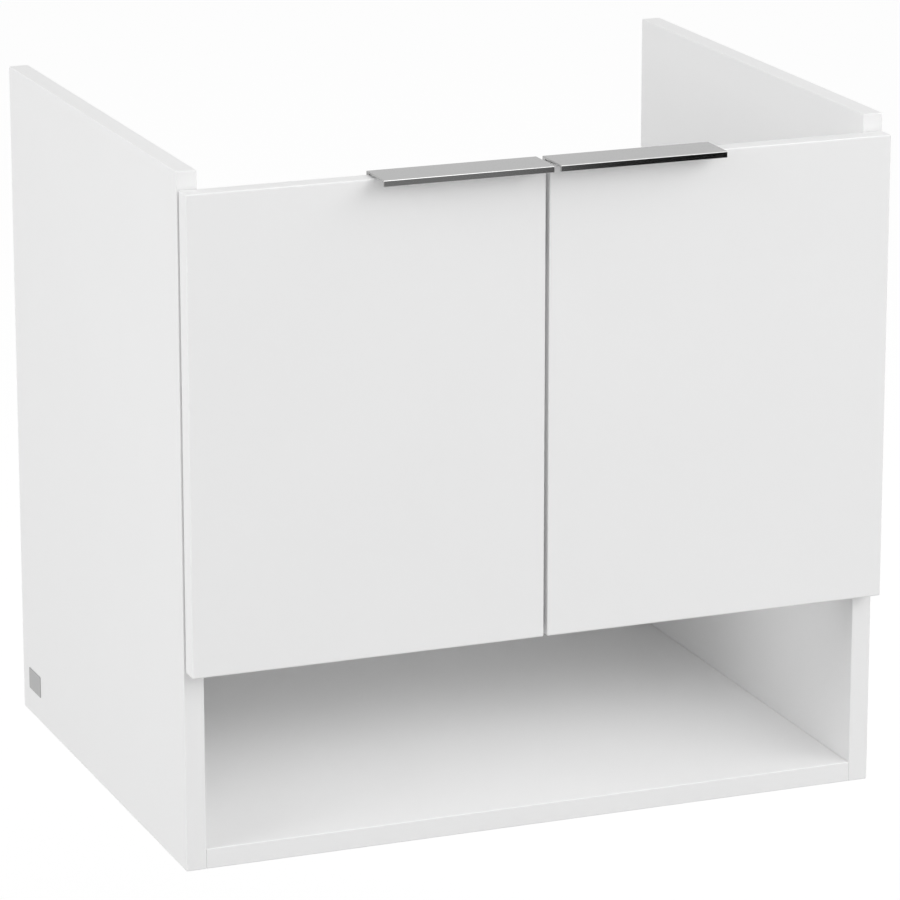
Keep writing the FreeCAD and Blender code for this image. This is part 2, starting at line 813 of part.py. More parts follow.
def add_carcass(side_tools):
    """The carcass boards, drilled for what enters them, and the fittings that join them."""
    boards = carcass_boards()
    bolts, cams, dowels = panel_joints()
    rooms = {name: [] for name in boards}
    for panel, piece in bolts + dowels:
        rooms[panel].append(piece)
        rooms["left_side"].append(piece)
    for panel, drum, _ in cams:
        rooms[panel].append(drum)
    for name, tools in rooms.items():
        if name == "left_side":
            continue
        both = tools + [mirrored(tool.Name + "_right", tool) for tool in tools]
        if name == "rear_rail":
            both += wall_holes()
        add(name, cut(name, boards[name], both))
    add_pair("side", cut("left_side", boards["left_side"], rooms["left_side"] + side_tools))
    for name, pieces in (
        ("cam_bolts", [piece for _, piece in bolts]),
        ("cam_housings", [piece for _, _, piece in cams]),
        ("dowels", [piece for _, piece in dowels]),
    ):
        left = group(name + "_left", pieces)
        add(name, group(name, [left, mirrored(name + "_right", left)]))


def add_hinges():
    """All four hinges. Returns what the left side and the left door are bored for."""
    screws = hinge_screws()
    arm_pin, cup_pin = hinge_pins()
    arm = hinge_arm(screws["arm"])
    plate = hinge_plate(screws["plate"] + screws["arm"])
    link = hinge_link()
    cup, pot = hinge_cup(screws["cup"])
    rooms = {"side": [], "door": []}
    shared = {
        "plate_screws": [], "arm_screws": [], "cup_screws": [],
        "arm_pins": [], "cup_pins": [], "links": [],
    }
    for which, height in hinge_places().items():
        at = (SIDE_X, "-depth", height)

        def here(name, piece):
            return put("%s_%s" % (which, name), piece, at)

        add_pair(which + "_hinge_cup", here("cup", cup))
        add_pair(which + "_hinge_arm", here("arm", arm))
        add_pair(which + "_hinge_plate", here("plate", plate))
        for kind in ("plate", "arm", "cup"):
            shared[kind + "_screws"].append(here(kind + "_screws", group(which + kind, screws[kind])))
        shared["arm_pins"].append(here("arm_pin", arm_pin))
        shared["cup_pins"].append(here("cup_pin", cup_pin))
        shared["links"].append(here("link", link))
        rooms["side"].append(shared["plate_screws"][-1])
        rooms["door"] += [here("pot", pot), shared["cup_screws"][-1]]
    for name, pieces in shared.items():
        add_pair("hinge_" + name, group("left_hinge_" + name, pieces))
    return rooms


def add_doors(rooms):
    """The doors with their handles, screws and bumpers."""
    screws = handle_screws()
    add_pair("door", cut("left_door", door_board(), rooms + screws))
    add_pair("handle", cut("left_handle", handle(), screws))
    add_pair("handle_screws", group("left_handle_screws", screws))
    add_pair("bumpers", group("left_bumpers", bumpers()))


def add_hangers():
    """The wall hangers. Returns what the left side is bored for."""
    fixings = hanger_fixings()
    adjusters = hanger_adjusters()
    add_pair("hanger_housing", hanger_housing(fixings + adjusters))
    add_pair("hanger_carriage", hanger_carriage())
    add_pair("hanger_hook", hanger_hook())
    add_pair("hanger_adjusters", group("left_hanger_adjusters", adjusters))
    add_pair("hanger_screws", group("left_hanger_screws", fixings))
    return fixings


def add_label():
    """The small bare plate near the lower rear corner of the left side."""
    add("blank_plate", block(
        "blank_plate", ("label_thickness", "label_length", "label_height"),
        (SIDE_X + " - label_thickness", "-label_rear - label_length", "label_low"),
    ))


def check(item):
    """Stops the build if an object failed to compute."""
    if {"Invalid", "Error"} & set(item.State):
        raise RuntimeError(item.Name + " failed to compute")


def write_parts():
    """Checks each sub-part and writes it to its own file."""
    os.makedirs("parts", exist_ok=True)
    for name, item in nodes.items():
        shape = item.Shape
        if shape.isNull() or not shape.isValid() or not shape.Solids:
            raise RuntimeError(name + " has no valid shape")
        shape.exportStep("parts/" + name + ".step")
        print("%-24s %2d solids %10.1f mm3" % (name, len(shape.Solids), shape.Volume))


fill_sheet()
door_rooms = add_hinges()
hanger_rooms = add_hangers()
add_carcass(door_rooms["side"] + hanger_rooms)
add_doors(door_rooms["door"])
add_label()
doc.recompute()
for each in doc.Objects:
    check(each)
write_parts()
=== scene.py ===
"""Looks of a wall-hung base unit for a washbasin.

The CAD frame gives every part its shape and place, in metres: the wall is the plane y = 0, the
front faces -Y and +Z is up. This script dresses those parts, eases their cut edges, and stands
detailed fittings in for the plain screws, cams, dowels and dots of the frame.
"""

import json
import logging
import math
from abc import ABC, abstractmethod
from collections.abc import Callable, Iterable, Sequence
from dataclasses import dataclass, field
from enum import Enum

import bmesh
import bpy
from mathutils import Matrix, Vector

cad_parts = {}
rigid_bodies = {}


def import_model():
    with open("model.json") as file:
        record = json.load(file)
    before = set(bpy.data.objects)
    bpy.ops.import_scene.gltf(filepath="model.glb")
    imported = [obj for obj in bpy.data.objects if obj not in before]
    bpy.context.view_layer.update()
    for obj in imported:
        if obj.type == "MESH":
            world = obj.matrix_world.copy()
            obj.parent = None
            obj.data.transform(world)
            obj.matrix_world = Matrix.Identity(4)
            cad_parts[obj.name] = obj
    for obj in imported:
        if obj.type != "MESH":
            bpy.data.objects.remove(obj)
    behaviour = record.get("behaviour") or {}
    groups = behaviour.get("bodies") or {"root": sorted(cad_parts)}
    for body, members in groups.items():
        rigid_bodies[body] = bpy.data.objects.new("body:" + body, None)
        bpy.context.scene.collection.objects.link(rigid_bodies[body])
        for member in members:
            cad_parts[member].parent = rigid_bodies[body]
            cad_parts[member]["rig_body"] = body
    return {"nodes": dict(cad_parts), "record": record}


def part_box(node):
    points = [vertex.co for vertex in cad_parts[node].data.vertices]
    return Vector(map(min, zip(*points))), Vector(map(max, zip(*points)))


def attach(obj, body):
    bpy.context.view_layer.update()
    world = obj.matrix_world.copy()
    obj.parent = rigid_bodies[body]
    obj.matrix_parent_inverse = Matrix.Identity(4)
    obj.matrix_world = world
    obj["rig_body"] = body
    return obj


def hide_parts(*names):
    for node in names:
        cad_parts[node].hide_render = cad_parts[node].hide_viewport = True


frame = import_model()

log = logging.getLogger("basin_unit")

MM = 0.001
WELD = 0.001 * MM
FLUSH = 0.01 * MM
NEAR = 0.05 * MM
HEAD_HEIGHT = 1.8 * MM
SHANK = 1.8 * MM
FLAT_DEG = 0.3
SHARP_DEG = 40.0
EDGE_SEGMENTS = 2
FOLD_SEGMENTS = 4
SIDES = ("left", "right")
WHITE = (1.0, 1.0, 1.0, 1.0)
Colour = tuple[float, float, float]
Stretch = tuple[float, float, float]
Point = tuple[float, float]
Number = "float | Socket"


# ---- shader graphs --------------------------------------------------------------


class Socket:
    """A value in a shader graph that Python expressions can work with."""

    def __init__(self, graph: "Graph", output: bpy.types.NodeSocket) -> None:
        """Wraps one output of a node.

        Args:
            graph: The graph that the node is in.
            output: The node's output.
        """
        self.graph = graph
        self.output = output

    def __add__(self, other: Number) -> "Socket":
        """This value plus another."""
        return self.graph.maths("ADD", self, other)

    __radd__ = __add__

    def __sub__(self, other: Number) -> "Socket":
        """This value less another."""
        return self.graph.maths("SUBTRACT", self, other)

    def __rsub__(self, other: Number) -> "Socket":
        """Another value less this one."""
        return self.graph.maths("SUBTRACT", other, self)

    def __mul__(self, other: Number) -> "Socket":
        """This value times another."""
        return self.graph.maths("MULTIPLY", self, other)

    __rmul__ = __mul__


class Graph:
    """A shader graph under construction, for a material or for the world."""

    def __init__(self, tree: bpy.types.NodeTree) -> None:
        """Starts with an empty tree.

        Args:
            tree: The node tree of a material or a world.
        """
        self.tree = tree
        tree.nodes.clear()

    def node(
        self,
        kind: str,
        settings: dict | None = None,
        values: dict | None = None,
        output: int | str = 0,
    ) -> Socket:
        """Makes one node.

        Args:
            kind: The node's type.
            settings: Its own settings, such as a Math node's operation.
            values: Numbers, colours or sockets for its inputs, by name or index.
            output: Which output to return.

        Returns:
            The chosen output.
        """
        made = self.tree.nodes.new(kind)
        for name, setting in (settings or {}).items():
            setattr(made, name, setting)
        for key, value in (values or {}).items():
            self.feed(made.inputs[key], value)
        return Socket(self, made.outputs[output] if made.outputs else None)

    def feed(self, target: bpy.types.NodeSocket, value: "Number | Sequence[float]") -> None:
        """Links a socket to an input, or sets the input's own value."""
        if isinstance(value, Socket):
            self.tree.links.new(value.output, target)
        else:
            target.default_value = value

    def maths(self, operation: str, *values: Number) -> Socket:
        """One Math node.

        Args:
            operation: The node's operation.
            values: Its inputs in order.

        Returns:
            The result.
        """
        return self.node("ShaderNodeMath", {"operation": operation}, dict(enumerate(values)))

    def place(self, stretch: Stretch = (1.0, 1.0, 1.0)) -> Socket:
        """The place on the object in metres, each axis multiplied by a stretch."""
        at = self.node("ShaderNodeTexCoord", output="Object")
        scaled = {0: at, 1: stretch}
        return self.node("ShaderNodeVectorMath", {"operation": "MULTIPLY"}, scaled)

    def noise(
        self, grains_per_metre: float, detail: float = 2.0, stretch: Stretch = (1.0, 1.0, 1.0)
    ) -> Socket:
        """Smooth noise from 0 to 1, fixed to the object.

        Args:
            grains_per_metre: How many grains fit in a metre.
            detail: How many finer layers are added.
            stretch: A multiplier for each axis. A small one draws the grains out along it.

        Returns:
            The noise value.
        """
        values = {"Vector": self.place(stretch), "Scale": grains_per_metre, "Detail": detail}
        return self.node("ShaderNodeTexNoise", values=values, output="Fac")

    def mix(self, first: "Colour | Socket", second: "Colour | Socket", share: Number) -> Socket:
        """A colour between two.

        Args:
            first: The colour at share 0.
            second: The colour at share 1.
            share: How much of the second.

        Returns:
            The mixed colour.
        """
        first, second = (
            colour if isinstance(colour, Socket) else (*colour, 1.0)
            for colour in (first, second)
        )
        values = {0: share, 6: first, 7: second}
        return self.node("ShaderNodeMix", {"data_type": "RGBA"}, values, output=2)

    def bump(self, height: Socket, depth: float) -> Socket:
        """A normal for a height that runs from 0 to 1.

        Args:
            height: The height over the surface.
            depth: The real height of 1, in metres.

        Returns:
            The normal.
        """
        values = {"Strength": 1.0, "Distance": depth, "Height": height}
        return self.node("ShaderNodeBump", values=values)


def new_material(name: str) -> tuple[bpy.types.Material, Graph]:
    """A new material and its empty graph."""
    material = bpy.data.materials.new(name)
    material.use_nodes = True
    return material, Graph(material.node_tree)


# ---- finishes -------------------------------------------------------------------


class Axis(Enum):
    """The way that a brushed finish runs, as the stretch that draws its streaks out."""

    X = (0.02, 1.0, 1.0)
    Y = (1.0, 0.02, 1.0)


@dataclass(frozen=True)
class Finish(ABC):
    """A surface finish: its plain numbers, and the graph that varies them."""

    name: str
    colour: Colour
    roughness: float
    metallic: float = 0.0
    specular: float = 0.5
    gloss_spread: float = 0.1

    def material(self) -> bpy.types.Material:
        """Builds the material, or returns the one that was built before.

        Returns:
            The material of that name.
        """
        found = bpy.data.materials.get(self.name)
        if found is not None:
            return found
        material, graph = new_material(self.name)
        values = {
            "Metallic": self.metallic,
            "Specular IOR Level": self.specular,
            **self.constants(),
            **self.vary(graph),
        }
        shader = graph.node("ShaderNodeBsdfPrincipled", values=values)
        graph.node("ShaderNodeOutputMaterial", values={"Surface": shader})
        return material

    def constants(self) -> dict[str, float]:
        """Further plain numbers for the shader's own sockets."""
        return {}

    @abstractmethod
    def vary(self, graph: Graph) -> dict[str, Socket]:
        """What changes over the surface, by shader input."""

    def rough(self, noise: Socket) -> Socket:
        """The roughness, which a noise from 0 to 1 spreads about its plain value."""
        low = self.roughness * (1.0 - self.gloss_spread)
        return low + noise * (2 * self.gloss_spread * self.roughness)

    def shades(self, spread: float) -> tuple[Colour, Colour]:
        """A darker and a lighter shade of the finish's colour.

        Args:
            spread: The share by which each differs.

        Returns:
            The two colours.
        """
        low, high = (
            tuple(min(1.0, channel * factor) for channel in self.colour)
            for factor in (1.0 - spread, 1.0 + spread)
        )
        return low, high


@dataclass(frozen=True)
class CoatedBoard(Finish):
    """A white board face: a fine pearl texture and a faint cloudiness in its sheen."""

    pearl: float = 0.006 * MM
    pearls_per_metre: float = 1400.0
    clouding: float = 0.012
    clouds_per_metre: float = 9.0

    def vary(self, graph: Graph) -> dict[str, Socket]:
        """Pearl texture in the normal, clouds in the colour and the roughness."""
        clouds = graph.noise(self.clouds_per_metre, detail=3.0)
        pearls = graph.noise(self.pearls_per_metre, detail=1.0)
        return {
            "Base Color": graph.mix(*self.shades(self.clouding), clouds),
            "Roughness": self.rough(clouds),
            "Normal": graph.bump(pearls, self.pearl),
        }


@dataclass(frozen=True)
class BrushedMetal(Finish):
    """Metal brushed along one axis, with streaks in its shade, gloss and normal."""

    gloss_spread: float = 0.2
    along: Axis = Axis.X
    streaks_per_metre: float = 2600.0
    streak_depth: float = 0.004 * MM
    contrast: float = 0.05
    fine_share: float = 0.65
    broadening: float = 6.0

    def vary(self, graph: Graph) -> dict[str, Socket]:
        """Fine streaks over broad ones."""
        fine = graph.noise(self.streaks_per_metre, stretch=self.along.value)
        broad = graph.noise(self.streaks_per_metre / self.broadening, stretch=self.along.value)
        streaks = fine * self.fine_share + broad * (1.0 - self.fine_share)
        return {
            "Base Color": graph.mix(*self.shades(self.contrast), streaks),
            "Roughness": self.rough(streaks),
            "Normal": graph.bump(streaks, self.streak_depth),
        }


@dataclass(frozen=True)
class PlatedSteel(Finish):
    """Pressed and plated steel: tumbled micro-scratches and a faint tint in the plating."""

    gloss_spread: float = 0.15
    tint: Colour = (0.56, 0.60, 0.66)
    tint_share: float = 0.3
    patches_per_metre: float = 70.0
    scratches_per_metre: float = 3200.0
    scratch_stretch: Stretch = (1.0, 0.25, 1.0)
    scratch_depth: float = 0.002 * MM

    def vary(self, graph: Graph) -> dict[str, Socket]:
        """Patches of tint, worn gloss and fine scratches."""
        patches = graph.noise(self.patches_per_metre)
        scratches = graph.noise(self.scratches_per_metre, 3.0, self.scratch_stretch)
        return {
            "Base Color": graph.mix(self.colour, self.tint, patches * self.tint_share),
            "Roughness": self.rough(patches),
            "Normal": graph.bump(scratches, self.scratch_depth),
        }


@dataclass(frozen=True)
class CastMetal(Finish):
    """Die-cast metal: a grainy skin with duller hollows."""

    gloss_spread: float = 0.15
    grain: float = 0.02 * MM
    grains_per_metre: float = 1100.0
    contrast: float = 0.14

    def vary(self, graph: Graph) -> dict[str, Socket]:
        """Grains in the normal, hollows in the shade."""
        grains = graph.noise(self.grains_per_metre, detail=3.0)
        return {
            "Base Color": graph.mix(*self.shades(self.contrast), grains),
            "Roughness": self.rough(grains),
            "Normal": graph.bump(grains, self.grain),
        }


@dataclass(frozen=True)
class Timber(Finish):
    """Turned beech: pores drawn out along the dowel and a change of tone between years."""

    years: Colour = (0.47, 0.29, 0.15)
    years_per_metre: float = 260.0
    year_stretch: Stretch = (0.08, 1.0, 1.0)
    pores_per_metre: float = 2400.0
    pore_stretch: Stretch = (0.05, 1.0, 1.0)
    pore_level: float = 0.62
    pore_share: float = 0.6
    pore_depth: float = 0.03 * MM

    def vary(self, graph: Graph) -> dict[str, Socket]:
        """Years as broad bands, pores as fine dark dashes."""
        bands = graph.noise(self.years_per_metre, stretch=self.year_stretch)
        pores = graph.noise(self.pores_per_metre, 1.0, self.pore_stretch)
        toned = graph.mix(self.colour, self.years, bands)
        dash = graph.maths("GREATER_THAN", pores, self.pore_level)
        return {
            "Base Color": graph.mix(toned, self.years, dash * self.pore_share),
            "Roughness": self.rough(pores),
            "Normal": graph.bump(pores, self.pore_depth),
        }


@dataclass(frozen=True)
class MouldedPlastic(Finish):
    """Moulded plastic with a fine eroded skin, and a little light that passes through."""

    grain: float = 0.012 * MM
    grains_per_metre: float = 1800.0
    flows_per_metre: float = 40.0
    contrast: float = 0.03
    milkiness: float = 0.0
    milk_depth: float = 1.0 * MM

    def constants(self) -> dict[str, float]:
        """How much light the plastic lets through."""
        return {"Subsurface Weight": self.milkiness, "Subsurface Scale": self.milk_depth}

    def vary(self, graph: Graph) -> dict[str, Socket]:
        """The eroded skin, with slow changes of tone where the plastic flowed."""
        skin = graph.noise(self.grains_per_metre)
        flow = graph.noise(self.flows_per_metre)
        return {
            "Base Color": graph.mix(*self.shades(self.contrast), flow),
            "Roughness": self.rough(skin),
            "Normal": graph.bump(skin, self.grain),
        }


WHITE_BOARD = CoatedBoard("white_board", (0.88, 0.88, 0.88), 0.50)
WHITE_FRONT = CoatedBoard(
    "white_front", (0.88, 0.88, 0.88), 0.38, pearl=0.003 * MM, clouding=0.006
)
SATIN_ALUMINIUM = BrushedMetal(
    "satin_aluminium", (0.50, 0.50, 0.50), 0.11, metallic=1.0, streak_depth=0.002 * MM
)
SATIN_PLATE = BrushedMetal(
    "satin_plate", (0.36, 0.36, 0.36), 0.30, metallic=1.0, along=Axis.Y, contrast=0.04
)
NICKEL = PlatedSteel("nickel_plate", (0.60, 0.58, 0.55), 0.26, metallic=1.0)
BRIGHT_ZINC = PlatedSteel(
    "bright_zinc", (0.62, 0.62, 0.60), 0.32, metallic=1.0, tint=(0.50, 0.56, 0.66)
)
GALVANISED = PlatedSteel(
    "galvanised", (0.52, 0.53, 0.54), 0.42, metallic=1.0, tint=(0.40, 0.41, 0.43)
)
CAST_ZINC = CastMetal("cast_zinc", (0.42, 0.42, 0.41), 0.46, metallic=1.0)
BEECH = Timber("beech", (0.62, 0.42, 0.25), 0.62, specular=0.3)
CLEAR_RUBBER = MouldedPlastic("clear_rubber", (0.78, 0.78, 0.76), 0.24, milkiness=0.4)
WHITE_PLASTIC = MouldedPlastic("white_plastic", (0.72, 0.72, 0.71), 0.45)

FINISH_OF_SLOT = {
    "carcass_board": WHITE_BOARD,
    "door_board": WHITE_FRONT,
    "handle_aluminium": SATIN_ALUMINIUM,
    "hinge_steel": NICKEL,
    "screw_steel": BRIGHT_ZINC,
    "cam_zinc": CAST_ZINC,
    "dowel_beech": BEECH,
    "bumper_soft": CLEAR_RUBBER,
    "hanger_plastic": WHITE_PLASTIC,
    "hanger_steel": GALVANISED,
    "label_aluminium": SATIN_PLATE,
}


# ---- shapes ---------------------------------------------------------------------


def arc(centre: Point, radius: float, start_deg: float, end_deg: float, steps: int) -> list[Point]:
    """Points along an arc.

    Args:
        centre: The arc's centre.
        radius: Its radius.
        start_deg: The angle of the first point.
        end_deg: The angle of the last point.
        steps: The number of chords.

    Returns:
        The points in order, both ends included.
    """
    angles = (
        math.radians(start_deg + (end_deg - start_deg) * step / steps) for step in range(steps + 1)
    )
    return [(centre[0] + radius * math.cos(a), centre[1] + radius * math.sin(a)) for a in angles]


def turn(radius: float, height: float, segments: int) -> list[Vector]:
    """A level ring about the Z axis, or a single point where the radius is 0."""
    if radius == 0.0:
        return [Vector((0.0, 0.0, height))]
    angles = (2 * math.pi * step / segments for step in range(segments))
    return [Vector((radius * math.cos(a), radius * math.sin(a), height)) for a in angles]


def rounded_box(width: float, height: float, radius: float, steps: int = 5) -> list[Point]:
    """The outline of a rectangle about the origin with round corners."""
    x, y = width / 2 - radius, height / 2 - radius
    turns = ((x, y, 0), (-x, y, 90), (-x, -y, 180), (x, -y, 270))
    return [p for cx, cy, at in turns for p in arc((cx, cy), radius, at, at + 90, steps)]


def cross(reach: float, half_width: float) -> list[Point]:
    """The outline of a cross about the origin, anticlockwise."""
    quarter = [(reach, -half_width), (reach, half_width), (half_width, half_width)]
    points: list[Point] = []
    for _ in range(4):
        points += quarter
        quarter = [(-y, x) for x, y in quarter]
    return points


class Shape:
    """A closed mesh under construction, in metres."""

    def __init__(self) -> None:
        """Starts with nothing."""
        self.mesh = bmesh.new()

    def add(self, mesh: bpy.types.Mesh, at: Matrix = Matrix.Identity(4)) -> None:
        """Adds a copy of a mesh, moved by a matrix."""
        placed = mesh.copy()
        placed.transform(at)
        self.mesh.from_mesh(placed)
        bpy.data.meshes.remove(placed)

    def skin(self, rings: Sequence[Sequence[Vector]]) -> None:
        """Joins neighbouring rings of points. A ring of one point is a tip.

        Args:
            rings: The rings in order, with equally many points apart from the tips.
        """
        made = [[self.mesh.verts.new(point) for point in ring] for ring in rings]
        for near, far in zip(made, made[1:]):
            count = max(len(near), len(far))
            for index in range(count):
                after = (index + 1) % count
                loop = [near[index % len(near)], near[after % len(near)]]
                loop += [far[after % len(far)], far[index % len(far)]]
                self.mesh.faces.new(list(dict.fromkeys(loop)))

    def cap(self, ring: Sequence[Vector]) -> None:
        """Closes a ring with one face."""
        self.mesh.faces.new([self.mesh.verts.new(point) for point in ring])

    def between(self, outer: Sequence[Vector], inner: Sequence[Vector]) -> None:
        """Fills the level face between an outline and the outline of a hole in it."""
        edges = []
        for ring in (outer, inner):
            made = [self.mesh.verts.new(point) for point in ring]
            edges += [self.mesh.edges.new(pair) for pair in zip(made, made[1:] + made[:1])]
        bmesh.ops.triangle_fill(self.mesh, edges=edges, use_beauty=True)

    def lathe(self, profile: Iterable[Point], segments: int = 40) -> None:
        """A solid of revolution about the local Z axis.

        Args:
            profile: Radii and heights. It starts and ends on the axis, at radius 0.
            segments: The number of faces round the axis.
        """
        self.skin([turn(radius, height, segments) for radius, height in profile])

    def plate(
        self,
        outline: Sequence[Point],
        thickness: float,
        ease: float,
        at: Matrix = Matrix.Identity(4),
    ) -> None:
        """A flat plate with rounded edges, from z = 0 up.

        Args:
            outline: The outline in the local XY plane.
            thickness: The plate's thickness.
            ease: The radius of its edges.
            at: Where the plate goes.
        """
        curve = bpy.data.curves.new("plate", "CURVE")
        curve.dimensions = "2D"
        curve.fill_mode = "BOTH"
        spline = curve.splines.new("POLY")
        spline.points.add(len(outline) - 1)
        for point, place in zip(spline.points, outline):
            point.co = (*place, 0.0, 1.0)
        spline.use_cyclic_u = True
        curve.extrude = thickness / 2 - ease
        curve.bevel_depth = ease
        curve.bevel_resolution = EDGE_SEGMENTS
        curve.offset = -ease
        drawn = bpy.data.objects.new("plate", curve)
        mesh = bpy.data.meshes.new_from_object(drawn)
        self.add(mesh, at @ Matrix.Translation((0.0, 0.0, thickness / 2)))
        bpy.data.objects.remove(drawn)
        bpy.data.curves.remove(curve)
        bpy.data.meshes.remove(mesh)

    def finish(self) -> bpy.types.Mesh:
        """Welds the shape and returns it as a mesh with its faces outward."""
        bmesh.ops.remove_doubles(self.mesh, verts=self.mesh.verts, dist=WELD)
        bmesh.ops.recalc_face_normals(self.mesh, faces=self.mesh.faces)
        mesh = bpy.data.meshes.new("shape")
        self.mesh.to_mesh(mesh)
        self.mesh.free()
        return mesh


# ---- pieces ---------------------------------------------------------------------


def new_object(name: str, data: bpy.types.ID) -> bpy.types.Object:
    """A new object in the scene."""
    made = bpy.data.objects.new(name, data)
    bpy.context.scene.collection.objects.link(made)
    return made


@dataclass(frozen=True)
class Turned:
    """A round solid of the frame: the middle of its head end, the way that end faces, its size."""

    head: Vector
    facing: Vector
    length: float
    radius: float

    def flipped(self) -> "Turned":
        """The same solid seen from its other end."""
        foot = self.head - self.facing * self.length
        return Turned(foot, -self.facing, self.length, self.radius)

    def toward(self, way: Vector) -> "Turned":
        """The same solid, with the end that faces a given way as its head."""
        return self if self.facing.dot(way) > 0 else self.flipped()

    def matrix(self) -> Matrix:
        """Takes a piece whose head lies at the origin and faces +Z to this solid's place."""
        turned = self.facing.to_track_quat("Z", "Y").to_matrix().to_4x4()
        return Matrix.Translation(self.head) @ turned


def welded(node: str) -> bmesh.types.BMesh:
    """A node's mesh with its doubled vertices joined."""
    mesh = bmesh.new()
    mesh.from_mesh(frame["nodes"][node].data)
    bmesh.ops.remove_doubles(mesh, verts=mesh.verts, dist=WELD)
    mesh.verts.index_update()
    return mesh


def solids(node: str) -> list[list[Vector]]:
    """The vertices of each separate solid in a node."""
    mesh = welded(node)
    seen: set[int] = set()
    found = []
    for start in mesh.verts:
        if start.index in seen:
            continue
        seen.add(start.index)
        reached = [start]
        for vert in reached:
            for edge in vert.link_edges:
                other = edge.other_vert(vert)
                if other.index not in seen:
                    seen.add(other.index)
                    reached.append(other)
        found.append([vert.co.copy() for vert in reached])
    mesh.free()
    return found


def turned_solids(node: str) -> list[Turned]:
    """The round solids of a node, each with its wider end as its head."""
    found = []
    for points in solids(node):
        low = Vector(min(point[axis] for point in points) for axis in range(3))
        high = Vector(max(point[axis] for point in points) for axis in range(3))
        size = high - low
        axis = min(range(3), key=lambda i: abs(size[i - 1] - size[i - 2]))
        middle = (low + high) / 2
        reach = []
        for end in (low[axis], high[axis]):
            across = [point - middle for point in points if abs(point[axis] - end) < FLUSH]
            reach.append(max(math.hypot(gap[axis - 1], gap[axis - 2]) for gap in across))
        facing = Vector((0.0, 0.0, 0.0))
        facing[axis] = 1.0 if reach[1] >= reach[0] else -1.0
        head = middle + facing * size[axis] / 2
        found.append(Turned(head, facing, size[axis], max(reach)))
    return found


def slot_of(node: str) -> str:
    """The material slot of a node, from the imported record."""
    return next(
        part["material_slot"] for part in frame["record"]["subparts"] if part["node"] == node
    )


def dress(piece: bpy.types.Object, slot: str) -> None:
    """Gives a piece the finish of a material slot."""
    material = FINISH_OF_SLOT[slot].material()
    if not piece.material_slots:
        piece.data.materials.append(material)
    for material_slot in piece.material_slots:
        material_slot.material = material


def keep(node: str) -> None:
    """Shows a node of the frame as it is, in its own finish."""
    dress(frame["nodes"][node], slot_of(node))
    log.info("kept %s", node)


def stand_in(node: str, mesh: bpy.types.Mesh, smooth_deg: float = SHARP_DEG) -> None:
    """Shows a finer mesh in place of a node, on the same body and in the same finish.

    Args:
        node: The node that the mesh stands for.
        mesh: The mesh, in the row frame.
        smooth_deg: Faces that meet at less than this are shaded as one surface.
    """
    mesh.name = node + "_fine"
    mesh.shade_smooth()
    mesh.set_sharp_from_angle(angle=math.radians(smooth_deg))
    piece = new_object(node + "_fine", mesh)
    even = piece.modifiers.new("even_normals", "WEIGHTED_NORMAL")
    even.keep_sharp = True
    dress(piece, slot_of(node))
    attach(piece, frame["nodes"][node]["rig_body"])
    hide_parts(node)
    slot_of(node)
    log.info("made %s with %d faces", piece.name, len(mesh.polygons))


def refit(
    node: str,
    draw: Callable[[Turned], bpy.types.Mesh],
    settle: Callable[[Turned], Turned] = lambda solid: solid,
) -> None:
    """Stands a detailed piece in for each round solid of a node.

    Args:
        node: The node.
        draw: Draws the piece for a solid, with its head's end at z = 0 and facing +Z.
        settle: Settles which end of a solid is its head.
    """
    shape = Shape()
    for found in turned_solids(node):
        solid = settle(found)
        shape.add(draw(solid), solid.matrix())
    stand_in(node, shape.finish())


def sharp_edges(mesh: bmesh.types.BMesh) -> list[bmesh.types.BMEdge]:
    """The edges of a mesh that turn by more than the sharp angle."""
    limit = math.radians(SHARP_DEG)
    return [edge for edge in mesh.edges if edge.is_manifold and abs(edge.calc_face_angle()) > limit]


def round_edges(
    mesh: bmesh.types.BMesh, edges: Sequence[bmesh.types.BMEdge], radius: float, segments: int
) -> None:
    """Rounds some edges of a mesh."""
    bmesh.ops.bevel(
        mesh, geom=edges, offset=radius, segments=segments, profile=0.5, affect="EDGES",
        clamp_overlap=True,
    )


def order_faces(mesh: bmesh.types.BMesh) -> None:
    """Puts a mesh's faces in one order, because a bevel's own can change from run to run."""
    mesh.verts.index_update()
    order = sorted(mesh.faces, key=lambda side: sorted(vert.index for vert in side.verts))
    rank = {side: place for place, side in enumerate(order)}
    mesh.faces.sort(key=rank.get)


def eased(
    node: str,
    radius: float,
    folds: Callable[[bmesh.types.BMEdge], bool] | None = None,
    fold_radius: float = 0.0,
) -> None:
    """Shows a node with its sharp edges rounded.

    Args:
        node: The node.
        radius: The radius of the rounding.
        folds: Tells which edges are folds in a sheet or corners of a moulding.
        fold_radius: The larger radius of those.
    """
    mesh = welded(node)
    bmesh.ops.dissolve_limit(
        mesh, angle_limit=math.radians(FLAT_DEG), verts=mesh.verts, edges=mesh.edges
    )
    if folds is not None:
        folded = [edge for edge in sharp_edges(mesh) if folds(edge)]
        round_edges(mesh, folded, fold_radius, FOLD_SEGMENTS)
    round_edges(mesh, sharp_edges(mesh), radius, EDGE_SEGMENTS)
    bmesh.ops.dissolve_degenerate(mesh, dist=WELD, edges=mesh.edges)
    order_faces(mesh)
    made = bpy.data.meshes.new(node)
    mesh.to_mesh(made)
    mesh.free()
    stand_in(node, made)


